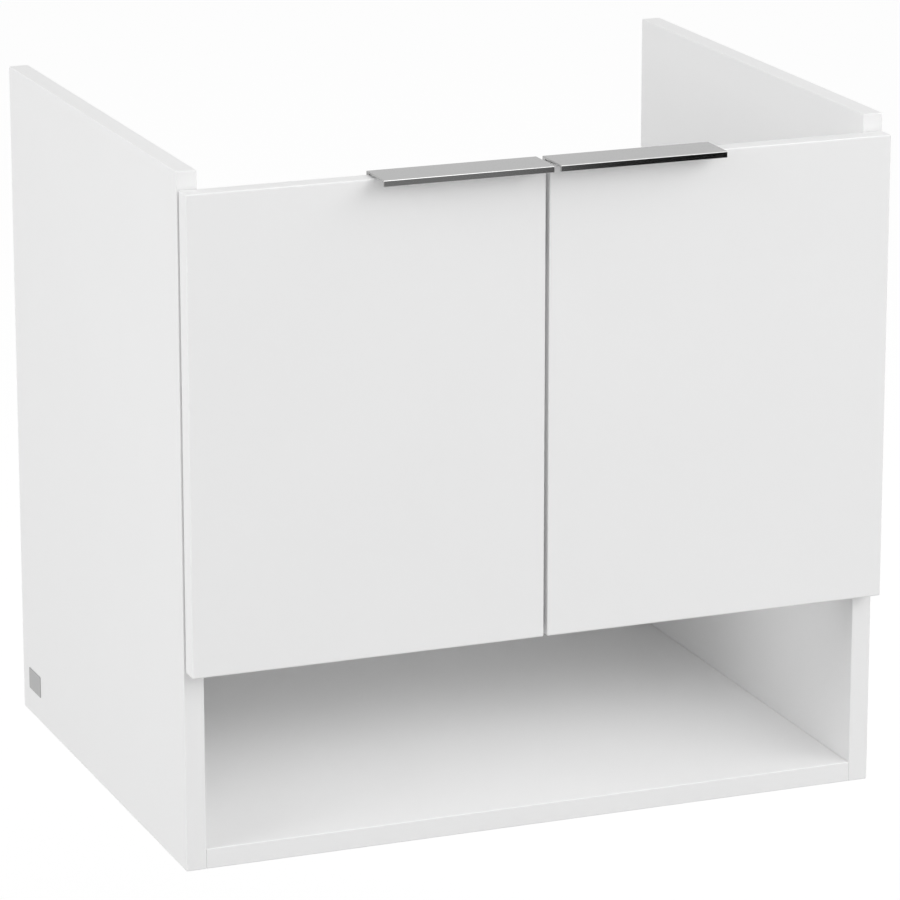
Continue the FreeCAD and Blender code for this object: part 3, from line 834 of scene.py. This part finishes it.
def carved(blank: bpy.types.Mesh, tools: Sequence[bpy.types.Mesh]) -> bpy.types.Mesh:
    """A mesh with the room of some tools cut out of it.

    Args:
        blank: The closed mesh that is cut.
        tools: Closed meshes.

    Returns:
        The cut mesh.
    """
    body = new_object("blank", blank)
    cutters = [new_object("tool", tool) for tool in tools]
    for cutter in cutters:
        cut = body.modifiers.new("cut", "BOOLEAN")
        cut.operation = "DIFFERENCE"
        cut.solver = "MANIFOLD"
        cut.object = cutter
    depsgraph = bpy.context.evaluated_depsgraph_get()
    depsgraph.update()
    result = bpy.data.meshes.new_from_object(body.evaluated_get(depsgraph))
    for used in (body, *cutters):
        bpy.data.objects.remove(used)
    return result


# ---- screws ---------------------------------------------------------------------


@dataclass(frozen=True)
class Thread:
    """A helical thread about the Z axis.

    The outer radius is the frame's. Its root, pitch and crest are the usual ones. The tip is the
    share of the radius that is left at the end of a tapered point.
    """

    outer: float
    root: float
    pitch: float
    crest: float = 0.5
    tip: float = 0.12
    rows_per_turn: int = 6

    def rings(self, top: float, foot: float, segments: int, point: float) -> list[list[Vector]]:
        """Rings from the top of the thread down to its foot.

        Args:
            top: The height where the thread starts.
            foot: The height where it ends.
            segments: The number of points in a ring.
            point: The length of the taper at the foot.

        Returns:
            The rings.
        """
        rows = max(2, round((top - foot) / self.pitch * self.rows_per_turn))
        rings = []
        for row in range(rows + 1):
            height = top + (foot - top) * row / rows
            taper = min(1.0, (height - foot) / point + self.tip) if point else 1.0
            ring = []
            for index in range(segments):
                phase = (height / self.pitch + index / segments) % 1.0
                tooth = max(0.0, 1.0 - abs(2 * phase - 1.0) / self.crest)
                radius = (self.root + (self.outer - self.root) * tooth) * taper
                angle = 2 * math.pi * index / segments
                ring.append(Vector((radius * math.cos(angle), radius * math.sin(angle), height)))
            rings.append(ring)
        return rings


@dataclass(frozen=True)
class CrossScrew:
    """A flat-headed screw with a cross recess, drawn with its head's top at z = 0.

    Its head, shank and length are those of the screw that it stands for. The root of its thread
    is a share of the shank.
    """

    length: float
    head: float
    shank: float
    head_height: float = HEAD_HEIGHT
    rim: float = 0.25 * MM
    recess_reach: float = 1.9 * MM
    recess_half: float = 0.42 * MM
    recess_depth: float = 1.5 * MM
    recess_taper: float = 0.45
    pitch: float = 1.8 * MM
    root: float = 0.68
    point: float = 3.5 * MM
    flat: bool = False
    segments: int = 24

    def mesh(self) -> bpy.types.Mesh:
        """Builds the screw.

        Returns:
            Its closed mesh.
        """
        shape = Shape()
        around = self.segments
        rim = turn(self.head - self.rim, 0.0, around)
        thread = Thread(self.shank, self.root * self.shank, self.pitch)
        rings = [
            rim,
            turn(self.head, -self.rim, around),
            *([turn(self.head, -self.head_height, around)] if self.flat else []),
            turn(self.shank, -self.head_height, around),
            turn(thread.root, -self.head_height - self.rim, around),
            *thread.rings(-self.head_height - 2 * self.rim, -self.length, around, self.point),
        ]
        shape.skin(rings)
        recess = cross(self.recess_reach, self.recess_half)
        taper = self.recess_taper
        mouth = [Vector((x, y, 0.0)) for x, y in recess]
        floor = [Vector((x * taper, y * taper, -self.recess_depth)) for x, y in recess]
        shape.skin([floor, mouth])
        shape.cap(rings[-1])
        shape.cap(floor)
        shape.between(rim, mouth)
        return shape.finish()


def show_screws(node: str, point: float = CrossScrew.point) -> None:
    """Stands detailed screws in for all the plain ones of a node.

    Args:
        node: The node.
        point: The length of each screw's pointed end, 0 for a blunt one.
    """
    refit(node, lambda solid: CrossScrew(solid.length, solid.radius, SHANK, point=point).mesh())


# ---- sub-assemblies -------------------------------------------------------------


@dataclass
class Carcass:
    """The boards. They stay as the frame has them, with their eased arrises and drilled joints."""

    boards: tuple[str, ...] = (
        "left_side", "right_side", "bottom_panel", "middle_shelf", "niche_back",
        "rear_rail", "front_rail",
    )

    def build(self) -> None:
        """Dresses the boards."""
        for board in self.boards:
            keep(board)


@dataclass
class PanelJoints:
    """The cams, bolts and dowels that hold the boards together."""

    cam_rim: float = 0.8 * MM
    cam_sink: float = 0.4 * MM
    cam_ease: float = 0.4 * MM
    cam_segments: int = 64
    slot_reach: float = 3.8 * MM
    slot_half: float = 0.75 * MM
    slot_depth: float = 4.0 * MM
    arrow_out: float = 5.8 * MM
    arrow_size: float = 1.2 * MM
    arrow_depth: float = 0.3 * MM
    bolt_hole: float = 3.6 * MM
    bolt_slot: float = 2.0 * MM
    track_sweep: tuple[float, float] = (-10.0, 110.0)
    bolt_segments: int = 24
    bolt_thread: float = 10.0 * MM
    bolt_pitch: float = 2.2 * MM
    bolt_root: float = 0.72
    bolt_crest: float = 0.7
    bolt_point: float = 1.0 * MM
    bolt_collar: float = 1.5 * MM
    bolt_ease: float = 0.3 * MM
    bolt_stem: float = 1.7 * MM
    bolt_neck: float = 1.3 * MM
    bolt_head: float = 2.9 * MM
    bolt_steps: tuple[float, ...] = (2.4, 2.2, 1.4, 0.9, 0.3)
    bolt_end: float = 0.7
    flutes: int = 18
    flute_depth: float = 0.3 * MM
    dowel_chamfer: float = 1.0 * MM
    cam_boards: tuple[str, ...] = ("bottom_panel", "middle_shelf", "rear_rail", "front_rail")

    def cam_mesh(self, radius: float, depth: float, axis_depth: float) -> bpy.types.Mesh:
        """One cam housing, with its mouth at z = 0 and its bolt coming in along +X.

        Args:
            radius: The drum's radius.
            depth: The drum's depth.
            axis_depth: How far the bolt's axis lies below the mouth.

        Returns:
            The housing's mesh.
        """
        sunk, ease = self.cam_sink, self.cam_ease
        drum = Shape()
        drum.lathe([
            (0.0, -depth), (radius - ease, -depth), (radius, ease - depth), (radius, -ease / 2),
            (radius - ease / 2, 0.0), (radius - self.cam_rim, 0.0),
            (radius - self.cam_rim - sunk, -sunk), (0.0, -sunk),
        ], self.cam_segments)
        slot = Shape()
        slot.plate(
            cross(self.slot_reach, self.slot_half), self.slot_depth, 0.0,
            Matrix.Translation((0.0, 0.0, -self.slot_depth)),
        )
        arrow = Shape()
        tip, size = self.arrow_out, self.arrow_size
        arrow.plate(
            [(tip, 0.0), (tip - size, size), (tip - size, -size)], 2 * sunk, 0.0,
            Matrix.Translation((0.0, 0.0, -sunk - self.arrow_depth)),
        )
        room = Shape()
        room.lathe([
            (0.0, -radius / 2), (self.bolt_hole, -radius / 2), (self.bolt_hole, 2 * radius),
            (0.0, 2 * radius),
        ])
        bore = room.finish()
        bore.transform(
            Matrix.Translation((0.0, 0.0, -axis_depth)) @ Matrix.Rotation(math.pi / 2, 4, "Y")
        )
        track = Shape()
        track.plate(
            [(0.0, 0.0), *arc((0.0, 0.0), 2 * radius, *self.track_sweep, 12)],
            2 * self.bolt_slot, 0.0,
            Matrix.Translation((0.0, 0.0, -axis_depth - self.bolt_slot)),
        )
        return carved(drum.finish(), [slot.finish(), arrow.finish(), bore, track.finish()])

    def show_cams(self) -> None:
        """Detailed housings in place of the plain drums."""
        shape = Shape()
        boxes = [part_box(board) for board in self.cam_boards]
        cams: dict[int, bpy.types.Mesh] = {}
        for found in turned_solids("cam_housings"):
            middle = found.head - found.facing * found.length / 2
            low, high = next(
                box for box in boxes if all(box[0][i] < middle[i] < box[1][i] for i in range(3))
            )
            away = found.facing.dot((low + high) / 2 - middle)
            cam = found.flipped() if away > 0 else found
            axis_depth = abs(cam.facing.dot(cam.head - (low + high) / 2))
            to_side = Vector((math.copysign(1.0, middle.x), 0.0, 0.0))
            across = cam.facing.cross(to_side)
            turned = Matrix((to_side, across, cam.facing)).transposed().to_4x4()
            key = round(axis_depth / WELD)
            if key not in cams:
                cams[key] = self.cam_mesh(cam.radius, cam.length, axis_depth)
            shape.add(cams[key], Matrix.Translation(cam.head) @ turned)
        stand_in("cam_housings", shape.finish())

    def bolt_profile(self, radius: float, collar: float) -> list[Point]:
        """A bolt's outline from its collar to the end of its head.

        Args:
            radius: The collar's radius.
            collar: The height where the collar starts.

        Returns:
            Radii and heights. The steps from stem to head are counted in the head's radii.
        """
        top, ease, head = collar + self.bolt_collar, self.bolt_ease, self.bolt_head
        stem, neck, flare, rim, bevel = (-step * head for step in self.bolt_steps)
        return [
            (radius - ease, collar), (radius, collar + ease), (radius, top - ease),
            (radius - ease, top), (self.bolt_stem, top), (self.bolt_stem, stem),
            (self.bolt_neck, neck), (self.bolt_neck, flare), (head, rim), (head, bevel),
            (self.bolt_end * head, 0.0),
        ]

    def bolt_mesh(self, bolt: Turned) -> bpy.types.Mesh:
        """A bolt with a thread in the side panel, a collar, and a head inside the cam."""
        around, foot = self.bolt_segments, -bolt.length
        collar = foot + self.bolt_thread
        thread = Thread(bolt.radius, self.bolt_root * bolt.radius, self.bolt_pitch, self.bolt_crest)
        threaded = thread.rings(collar, foot, around, self.bolt_point)
        smooth = [turn(*step, around) for step in self.bolt_profile(bolt.radius, collar)]
        piece = Shape()
        piece.skin(threaded)
        piece.cap(threaded[-1])
        piece.skin([threaded[0], *smooth])
        piece.cap(smooth[-1])
        return piece.finish()

    def dowel_ring(self, radius: float, height: float) -> list[Vector]:
        """A ring of a dowel, with a flute at every fourth point."""
        around = 4 * self.flutes
        ring = turn(radius, height, around)
        ring[::4] = turn(radius - self.flute_depth, height, around)[::4]
        return ring

    def dowel_mesh(self, dowel: Turned) -> bpy.types.Mesh:
        """A fluted dowel with chamfered ends."""
        chamfer = self.dowel_chamfer
        foot, head = (
            self.dowel_ring(dowel.radius - chamfer, height) for height in (-dowel.length, 0.0)
        )
        piece = Shape()
        piece.skin([
            foot, self.dowel_ring(dowel.radius, chamfer - dowel.length),
            self.dowel_ring(dowel.radius, -chamfer), head,
        ])
        piece.cap(foot)
        piece.cap(head)
        return piece.finish()

    def build(self) -> None:
        """Makes all the joints."""
        self.show_cams()
        refit(
            "cam_bolts", self.bolt_mesh,
            lambda bolt: bolt.toward(Vector((-bolt.head.x, 0.0, 0.0))),
        )
        refit("dowels", self.dowel_mesh)


@dataclass
class Doors:
    """The two doors and the soft dots on their backs."""

    dot_brim: float = 0.45 * MM
    dot_ease: float = 0.25 * MM

    def dot_mesh(self, dot: Turned) -> bpy.types.Mesh:
        """One domed dot."""
        foot = -dot.length
        brim = foot + self.dot_brim
        inner = dot.radius - self.dot_ease
        dome = arc((0.0, 0.0), 1.0, 0.0, 90.0, 8)[:-1]
        piece = Shape()
        piece.lathe([
            (0.0, foot), (inner, foot), (dot.radius, foot + self.dot_ease), (dot.radius, brim),
            *[(x * inner, brim * (1.0 - z)) for x, z in dome], (0.0, 0.0),
        ])
        return piece.finish()

    def build(self) -> None:
        """Dresses the doors and makes the dots."""
        rearward = Vector((0.0, 1.0, 0.0))
        for side in SIDES:
            keep(side + "_door")
            refit(side + "_bumpers", self.dot_mesh, lambda dot: dot.toward(rearward))


@dataclass
class Handles:
    """The edge-pull handles: a lip, a plate over the door's edge and a flange behind it."""

    plate: float = 1.5 * MM
    lip_height: float = 5.2 * MM
    lip_wall: float = 2.0 * MM
    lip_curve: float = 2.0 * MM
    nose: float = 0.8 * MM
    lip_ease: float = 0.4 * MM
    flange_wall: float = 1.5 * MM
    foot: float = 3.5 * MM
    end_ease: float = 0.25 * MM

    def section(self, low: Vector, high: Vector, seat: float) -> list[Point]:
        """The handle's section in depth and height, anticlockwise from the lip's foot.

        Args:
            low: The lowest corner of its box.
            high: The highest corner.
            seat: The height of the door's top edge.

        Returns:
            The points.
        """
        front, back, foot, top = low.y, high.y, low.z, high.z
        inner = front + self.lip_wall
        under = top - self.plate
        lip_foot = top - self.lip_height
        door_back = back - self.flange_wall
        nose, curve, ease = self.nose, self.lip_curve, self.lip_ease
        return [
            *arc((front + ease, lip_foot + ease), ease, 180, 270, 4),
            *arc((inner - ease, lip_foot + ease), ease, 270, 360, 4),
            *arc((inner + curve, under - curve), curve, 180, 90, 8),
            (door_back - self.foot, under), (door_back - self.foot, seat),
            (door_back, seat), (door_back, foot + ease),
            *arc((door_back + ease, foot + ease), ease, 180, 270, 4),
            *arc((back - ease, foot + ease), ease, 270, 360, 4),
            *arc((back - nose, top - nose), nose, 0, 90, 6),
            *arc((front + nose, top - nose), nose, 90, 180, 6),
        ]

    def build(self) -> None:
        """Makes both handles and their screws."""
        for side in SIDES:
            node = side + "_handle"
            low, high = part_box(node)
            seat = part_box(side + "_door")[1].z
            along_x = Matrix(((0, 0, 1), (1, 0, 0), (0, 1, 0))).to_4x4()
            bar = Shape()
            bar.plate(
                self.section(low, high, seat), high.x - low.x, self.end_ease,
                Matrix.Translation((low.x, 0.0, 0.0)) @ along_x,
            )
            bores = []
            for screw in turned_solids(side + "_handle_screws"):
                bore = Shape()
                bore.lathe([
                    (0.0, -2 * screw.radius), (SHANK, -2 * screw.radius), (SHANK, -HEAD_HEIGHT),
                    (screw.radius, 0.0), (screw.radius, screw.radius), (0.0, screw.radius),
                ])
                mesh = bore.finish()
                mesh.transform(screw.matrix())
                bores.append(mesh)
            stand_in(node, carved(bar.finish(), bores), 30.0)
            show_screws(side + "_handle_screws")


@dataclass
class Hinges:
    """The concealed hinges: arms and plates on the sides, links, and cups in the doors."""

    sheet_ease: float = 0.25 * MM
    thin_ease: float = 0.2 * MM
    pin_ease: float = 0.3 * MM
    pin_segments: int = 24
    arm_fold: float = 1.1 * MM
    shortest_fold: float = 10.0 * MM

    def arm_folds(self, node: str) -> Callable[[bmesh.types.BMEdge], bool]:
        """Tells the two long folds of an arm: those along the web that faces the middle."""
        inward = min(abs(corner.x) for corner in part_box(node))

        def is_fold(edge: bmesh.types.BMEdge) -> bool:
            long_enough = edge.calc_length() > self.shortest_fold
            return long_enough and all(abs(abs(v.co.x) - inward) < NEAR for v in edge.verts)

        return is_fold

    def pin_mesh(self, pin: Turned) -> bpy.types.Mesh:
        """One pin with rounded ends."""
        radius, ease, foot = pin.radius, self.pin_ease, -pin.length
        piece = Shape()
        piece.lathe([
            (0.0, foot), (radius - ease, foot), (radius - ease / 3, foot + ease / 3),
            (radius, foot + ease), (radius, -ease), (radius - ease / 3, -ease / 3),
            (radius - ease, 0.0), (0.0, 0.0),
        ], self.pin_segments)
        return piece.finish()

    def build(self) -> None:
        """Makes all four hinges."""
        for side in SIDES:
            for level in ("lower", "upper"):
                arm = f"{side}_{level}_hinge_arm"
                eased(arm, self.sheet_ease, self.arm_folds(arm), self.arm_fold)
                eased(f"{side}_{level}_hinge_plate", self.sheet_ease)
                eased(f"{side}_{level}_hinge_cup", self.thin_ease)
            eased(f"{side}_hinge_links", self.thin_ease)
            refit(f"{side}_hinge_arm_pins", self.pin_mesh)
            refit(f"{side}_hinge_cup_pins", self.pin_mesh)
            show_screws(f"{side}_hinge_plate_screws")
            show_screws(f"{side}_hinge_cup_screws")
            show_screws(f"{side}_hinge_arm_screws", point=0.0)


@dataclass
class Hangers:
    """The wall hangers in the rear corners: housing, sliding carriage, hook and screws."""

    moulded_ease: float = 0.4 * MM
    moulded_corner: float = 1.6 * MM
    shortest_corner: float = 15.0 * MM
    steel_ease: float = 0.4 * MM
    adjuster_stem: float = 2.0 * MM
    adjuster_head: float = 2.0 * MM
    adjuster_rim: float = 0.5 * MM
    adjuster_pitch: float = 0.8 * MM
    recess_reach: float = 2.4 * MM
    recess_half: float = 0.5 * MM

    def housing_corners(self, node: str) -> Callable[[bmesh.types.BMEdge], bool]:
        """Tells a housing's long outer corners, but not the rim of its open back or its seat."""
        low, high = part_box(node)
        seat = max(abs(low.x), abs(high.x))

        def is_corner(edge: bmesh.types.BMEdge) -> bool:
            on_back = all(abs(vert.co.y - high.y) < NEAR for vert in edge.verts)
            on_seat = all(abs(abs(vert.co.x) - seat) < NEAR for vert in edge.verts)
            long_enough = edge.calc_length() > self.shortest_corner
            return edge.is_convex and long_enough and not on_back and not on_seat

        return is_corner

    def adjuster_mesh(self, solid: Turned) -> bpy.types.Mesh:
        """One pan-headed adjusting screw with a cross recess."""
        return CrossScrew(
            solid.length, solid.radius, self.adjuster_stem, head_height=self.adjuster_head,
            rim=self.adjuster_rim, recess_reach=self.recess_reach, recess_half=self.recess_half,
            pitch=self.adjuster_pitch, point=0.0, flat=True,
        ).mesh()

    def build(self) -> None:
        """Makes both hangers."""
        for side in SIDES:
            housing = side + "_hanger_housing"
            eased(housing, self.moulded_ease, self.housing_corners(housing), self.moulded_corner)
            eased(side + "_hanger_carriage", self.steel_ease)
            eased(side + "_hanger_hook", self.steel_ease)
            refit(side + "_hanger_adjusters", self.adjuster_mesh)
            show_screws(side + "_hanger_screws")


@dataclass
class BlankPlate:
    """The small bare plate on the left side."""

    corner: float = 1.0 * MM
    ease: float = 0.15 * MM

    def build(self) -> None:
        """Makes the plate with rounded corners and edges."""
        low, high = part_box("blank_plate")
        middle = (low + high) / 2
        size = high - low
        facing_left = Matrix(((0, 0, -1), (-1, 0, 0), (0, 1, 0))).to_4x4()
        shape = Shape()
        shape.plate(
            rounded_box(size.y, size.z, self.corner), size.x, self.ease,
            Matrix.Translation((high.x, middle.y, middle.z)) @ facing_left,
        )
        stand_in("blank_plate", shape.finish())


# ---- studio ---------------------------------------------------------------------


def heading(turned_deg: float, raised_deg: float) -> Vector:
    """A direction, by its angle from +Y towards +X and its angle above the horizon."""
    turned, raised = math.radians(turned_deg), math.radians(raised_deg)
    level = math.cos(raised)
    return Vector((math.sin(turned) * level, math.cos(turned) * level, math.sin(raised)))


def face(piece: bpy.types.Object, way: Vector) -> None:
    """Turns a lamp or a camera to look a given way."""
    piece.rotation_mode = "QUATERNION"
    piece.rotation_quaternion = way.to_track_quat("-Z", "Y")


def sheet(name: str, points: Sequence[Sequence[float]]) -> bpy.types.Object:
    """A new sheet with one face."""
    mesh = bpy.data.meshes.new(name)
    mesh.from_pydata(points, [], [tuple(range(len(points)))])
    return new_object(name, mesh)


@dataclass(frozen=True)
class Softbox:
    """A soft square lamp that faces the unit. Angles are from the unit's front and the horizon."""

    name: str
    azimuth_deg: float
    elevation_deg: float
    size: float
    watts: float
    distance: float = 4.2

    def place(self, aim: Vector) -> Vector:
        """Where the lamp hangs, for the point that it faces."""
        return aim + heading(180.0 - self.azimuth_deg, self.elevation_deg) * self.distance


@dataclass(frozen=True)
class PaintedReflection:
    """An upright glowing panel along X that paints reflections: only shiny faces see it, in their
    reflections, and it casts no shadow.

    Attributes:
        name: Its name.
        sides: Where it starts and ends along X.
        heights: Its foot and its top.
        depth: Its place along Y.
        fade: Where along X one shade starts to change to the other, and where it has changed.
        shades: The two shades of its glow, which are painted into the reflections.
    """

    name: str
    sides: tuple[float, float]
    heights: tuple[float, float]
    depth: float
    fade: tuple[float, float]
    shades: tuple[float, float]


@dataclass
class Studio:
    """The floor, the lamps, the surroundings, the glowing panels that paint reflections, and the
    camera.
    """

    floor_drop: float = 0.26
    floor_size: float = 60.0
    floor_shade: float = 0.50
    floor_glow: float = 1.21
    floor_glow_share: float = 0.75
    surround: float = 0.51
    aim: Vector = field(default_factory=lambda: Vector((0.0, -0.2, 0.27)))
    lamps: tuple[Softbox, ...] = (
        Softbox("left_softbox", -85.0, 25.0, 3.0, 82.0),
        Softbox("right_softbox", 60.0, 35.0, 2.0, 29.0),
        Softbox("key_softbox", 30.0, 30.0, 2.2, 33.4),
        Softbox("front_softbox", 0.0, 15.0, 3.0, 31.0),
    )
    # Painted reflections: the front panel paints the grey-to-black reflection along the handles'
    # lips, the level one paints grey lips seen from in front, and the back one paints a light grey
    # reflection on the tops of the boards and handles.
    painted_reflections: tuple[PaintedReflection, ...] = (
        PaintedReflection("front_painted_reflection", (0.30, 2.10), (-0.26, 0.34), -2.6, (0.87, 0.95), (0.29, 0.0)),
        PaintedReflection("level_painted_reflection", (-0.7, 0.30), (0.34, 0.95), -2.6, (0.0, 1.0), (0.29, 0.29)),
        PaintedReflection("back_painted_reflection", (-3.0, 5.0), (-0.26, 2.5), 2.5, (0.0, 1.0), (0.76, 0.76)),
    )
    niche_lamp_watts: float = 0.17
    niche_lamp_depth: float = 0.20
    niche_lamp_setback: float = 0.12
    niche_lamp_gap: float = 0.003
    niche_lamp_margin: float = 0.02
    eye: Vector = field(default_factory=lambda: Vector((-1.378, -3.723, 1.308)))
    turn_deg: float = 21.59
    tilt_deg: float = 15.72
    lens_mm: float = 196.0

    def seen(self, graph: Graph) -> Socket:
        """1 for rays that come straight from the eye or by way of metal and glass."""
        rays = graph.node("ShaderNodeLightPath").output.node.outputs
        camera, glossy, through = (
            Socket(graph, rays[name])
            for name in ("Is Camera Ray", "Is Glossy Ray", "Is Transmission Ray")
        )
        return graph.maths("MAXIMUM", camera, graph.maths("MAXIMUM", glossy, through))

    def lay_floor(self) -> None:
        """A plain pale floor below the hung unit, which keeps the unit's shadow."""
        half = self.floor_size / 2
        outline = ((-half, -half), (half, -half), (half, half), (-half, half))
        floor = sheet("floor", [(x, y, -self.floor_drop) for x, y in outline])
        material, graph = new_material("pale_floor")
        shade = (self.floor_shade,) * 3
        matt = graph.node("ShaderNodeBsdfDiffuse", values={"Color": (*shade, 1.0)})
        bright = {"Color": WHITE, "Strength": self.floor_glow}
        glow = graph.node("ShaderNodeEmission", values=bright)
        share = self.seen(graph) * self.floor_glow_share
        mixed = graph.node("ShaderNodeMixShader", values={0: share, 1: matt, 2: glow})
        graph.node("ShaderNodeOutputMaterial", values={"Surface": mixed})
        floor.data.materials.append(material)

    def stand_painted_reflection(self, painted_reflection: PaintedReflection) -> None:
        """Stands up one glowing panel that paints reflections, which only shiny faces see."""
        (left, right), (foot, top) = painted_reflection.sides, painted_reflection.heights
        outline = ((left, foot), (right, foot), (right, top), (left, top))
        stood = sheet(painted_reflection.name, [(x, painted_reflection.depth, z) for x, z in outline])
        for rays in ("camera", "diffuse", "transmission", "shadow"):
            setattr(stood, "visible_" + rays, False)
        material, graph = new_material(painted_reflection.name)
        across = graph.node("ShaderNodeSeparateXYZ", values={0: graph.place()})
        # The painted reflection fades from one shade to the other along X.
        start, end = painted_reflection.fade
        share = (across - start) * (1.0 / (end - start))
        clamped = graph.node("ShaderNodeClamp", values={0: share})
        shade = graph.mix(*((shade,) * 3 for shade in painted_reflection.shades), clamped)
        # The panel glows in that painted shade, which only reflections show.
        glow = graph.node("ShaderNodeEmission", values={"Color": shade, "Strength": 1.0})
        graph.node("ShaderNodeOutputMaterial", values={"Surface": glow})
        stood.data.materials.append(material)

    def light_world(self) -> None:
        """An even surround that reads as white behind the unit and in its reflections."""
        world = bpy.data.worlds.new("surround")
        world.use_nodes = True
        graph = Graph(world.node_tree)
        dim, bright = (
            graph.node("ShaderNodeBackground", values={"Color": WHITE, "Strength": strength})
            for strength in (self.surround, 1.0)
        )
        mixed = graph.node("ShaderNodeMixShader", values={0: self.seen(graph), 1: dim, 2: bright})
        graph.node("ShaderNodeOutputWorld", values={"Surface": mixed})
        bpy.context.scene.world = world

    def hang(
        self, name: str, at: Vector, size: Point, watts: float, aim: Vector | None = None
    ) -> bpy.types.Object:
        """Hangs one soft lamp, which the camera doesn't see.

        Args:
            name: The lamp's name.
            at: Where it hangs.
            size: Its width and height.
            watts: Its power.
            aim: The point that it faces, or nothing for a lamp that faces down.

        Returns:
            The lamp.
        """
        lamp = bpy.data.lights.new(name, "AREA")
        lamp.shape = "RECTANGLE"
        lamp.size, lamp.size_y = size
        lamp.energy = watts
        hung = new_object(name, lamp)
        hung.location = at
        hung.visible_camera = False
        if aim is not None:
            face(hung, aim - at)
        return hung

    def light_niche(self) -> None:
        """A faint lamp under the shelf, for the light that a room throws back in there."""
        low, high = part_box("middle_shelf")
        width = high.x - low.x - 2 * self.niche_lamp_margin
        at = Vector((0.0, low.y + self.niche_lamp_setback, low.z - self.niche_lamp_gap))
        size = (width, self.niche_lamp_depth)
        self.hang("niche_lamp", at, size, self.niche_lamp_watts).visible_glossy = False

    def set_camera(self) -> None:
        """The camera at the viewing angle of the photograph."""
        data = bpy.data.cameras.new("camera")
        data.lens = self.lens_mm
        data.clip_end = 2 * self.floor_size
        camera = new_object("camera", data)
        camera.location = self.eye
        face(camera, heading(self.turn_deg, -self.tilt_deg))
        bpy.context.scene.camera = camera

    def build(self) -> None:
        """Sets up the whole studio."""
        bpy.context.scene.view_settings.view_transform = "Standard"
        self.lay_floor()
        # Stands up the glowing panels that paint reflections.
        for painted_reflection in self.painted_reflections:
            self.stand_painted_reflection(painted_reflection)
        self.light_world()
        for box in self.lamps:
            self.hang(box.name, box.place(self.aim), (box.size,) * 2, box.watts, self.aim)
        self.light_niche()
        self.set_camera()


# ---- scene ----------------------------------------------------------------------


def main() -> None:
    """Builds the scene."""
    logging.basicConfig(level=logging.INFO, format="%(message)s")
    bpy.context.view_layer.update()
    for assembly in (
        Carcass(), PanelJoints(), Doors(), Handles(), Hinges(), Hangers(), BlankPlate(), Studio()
    ):
        assembly.build()


if __name__ == "__main__":
    main()
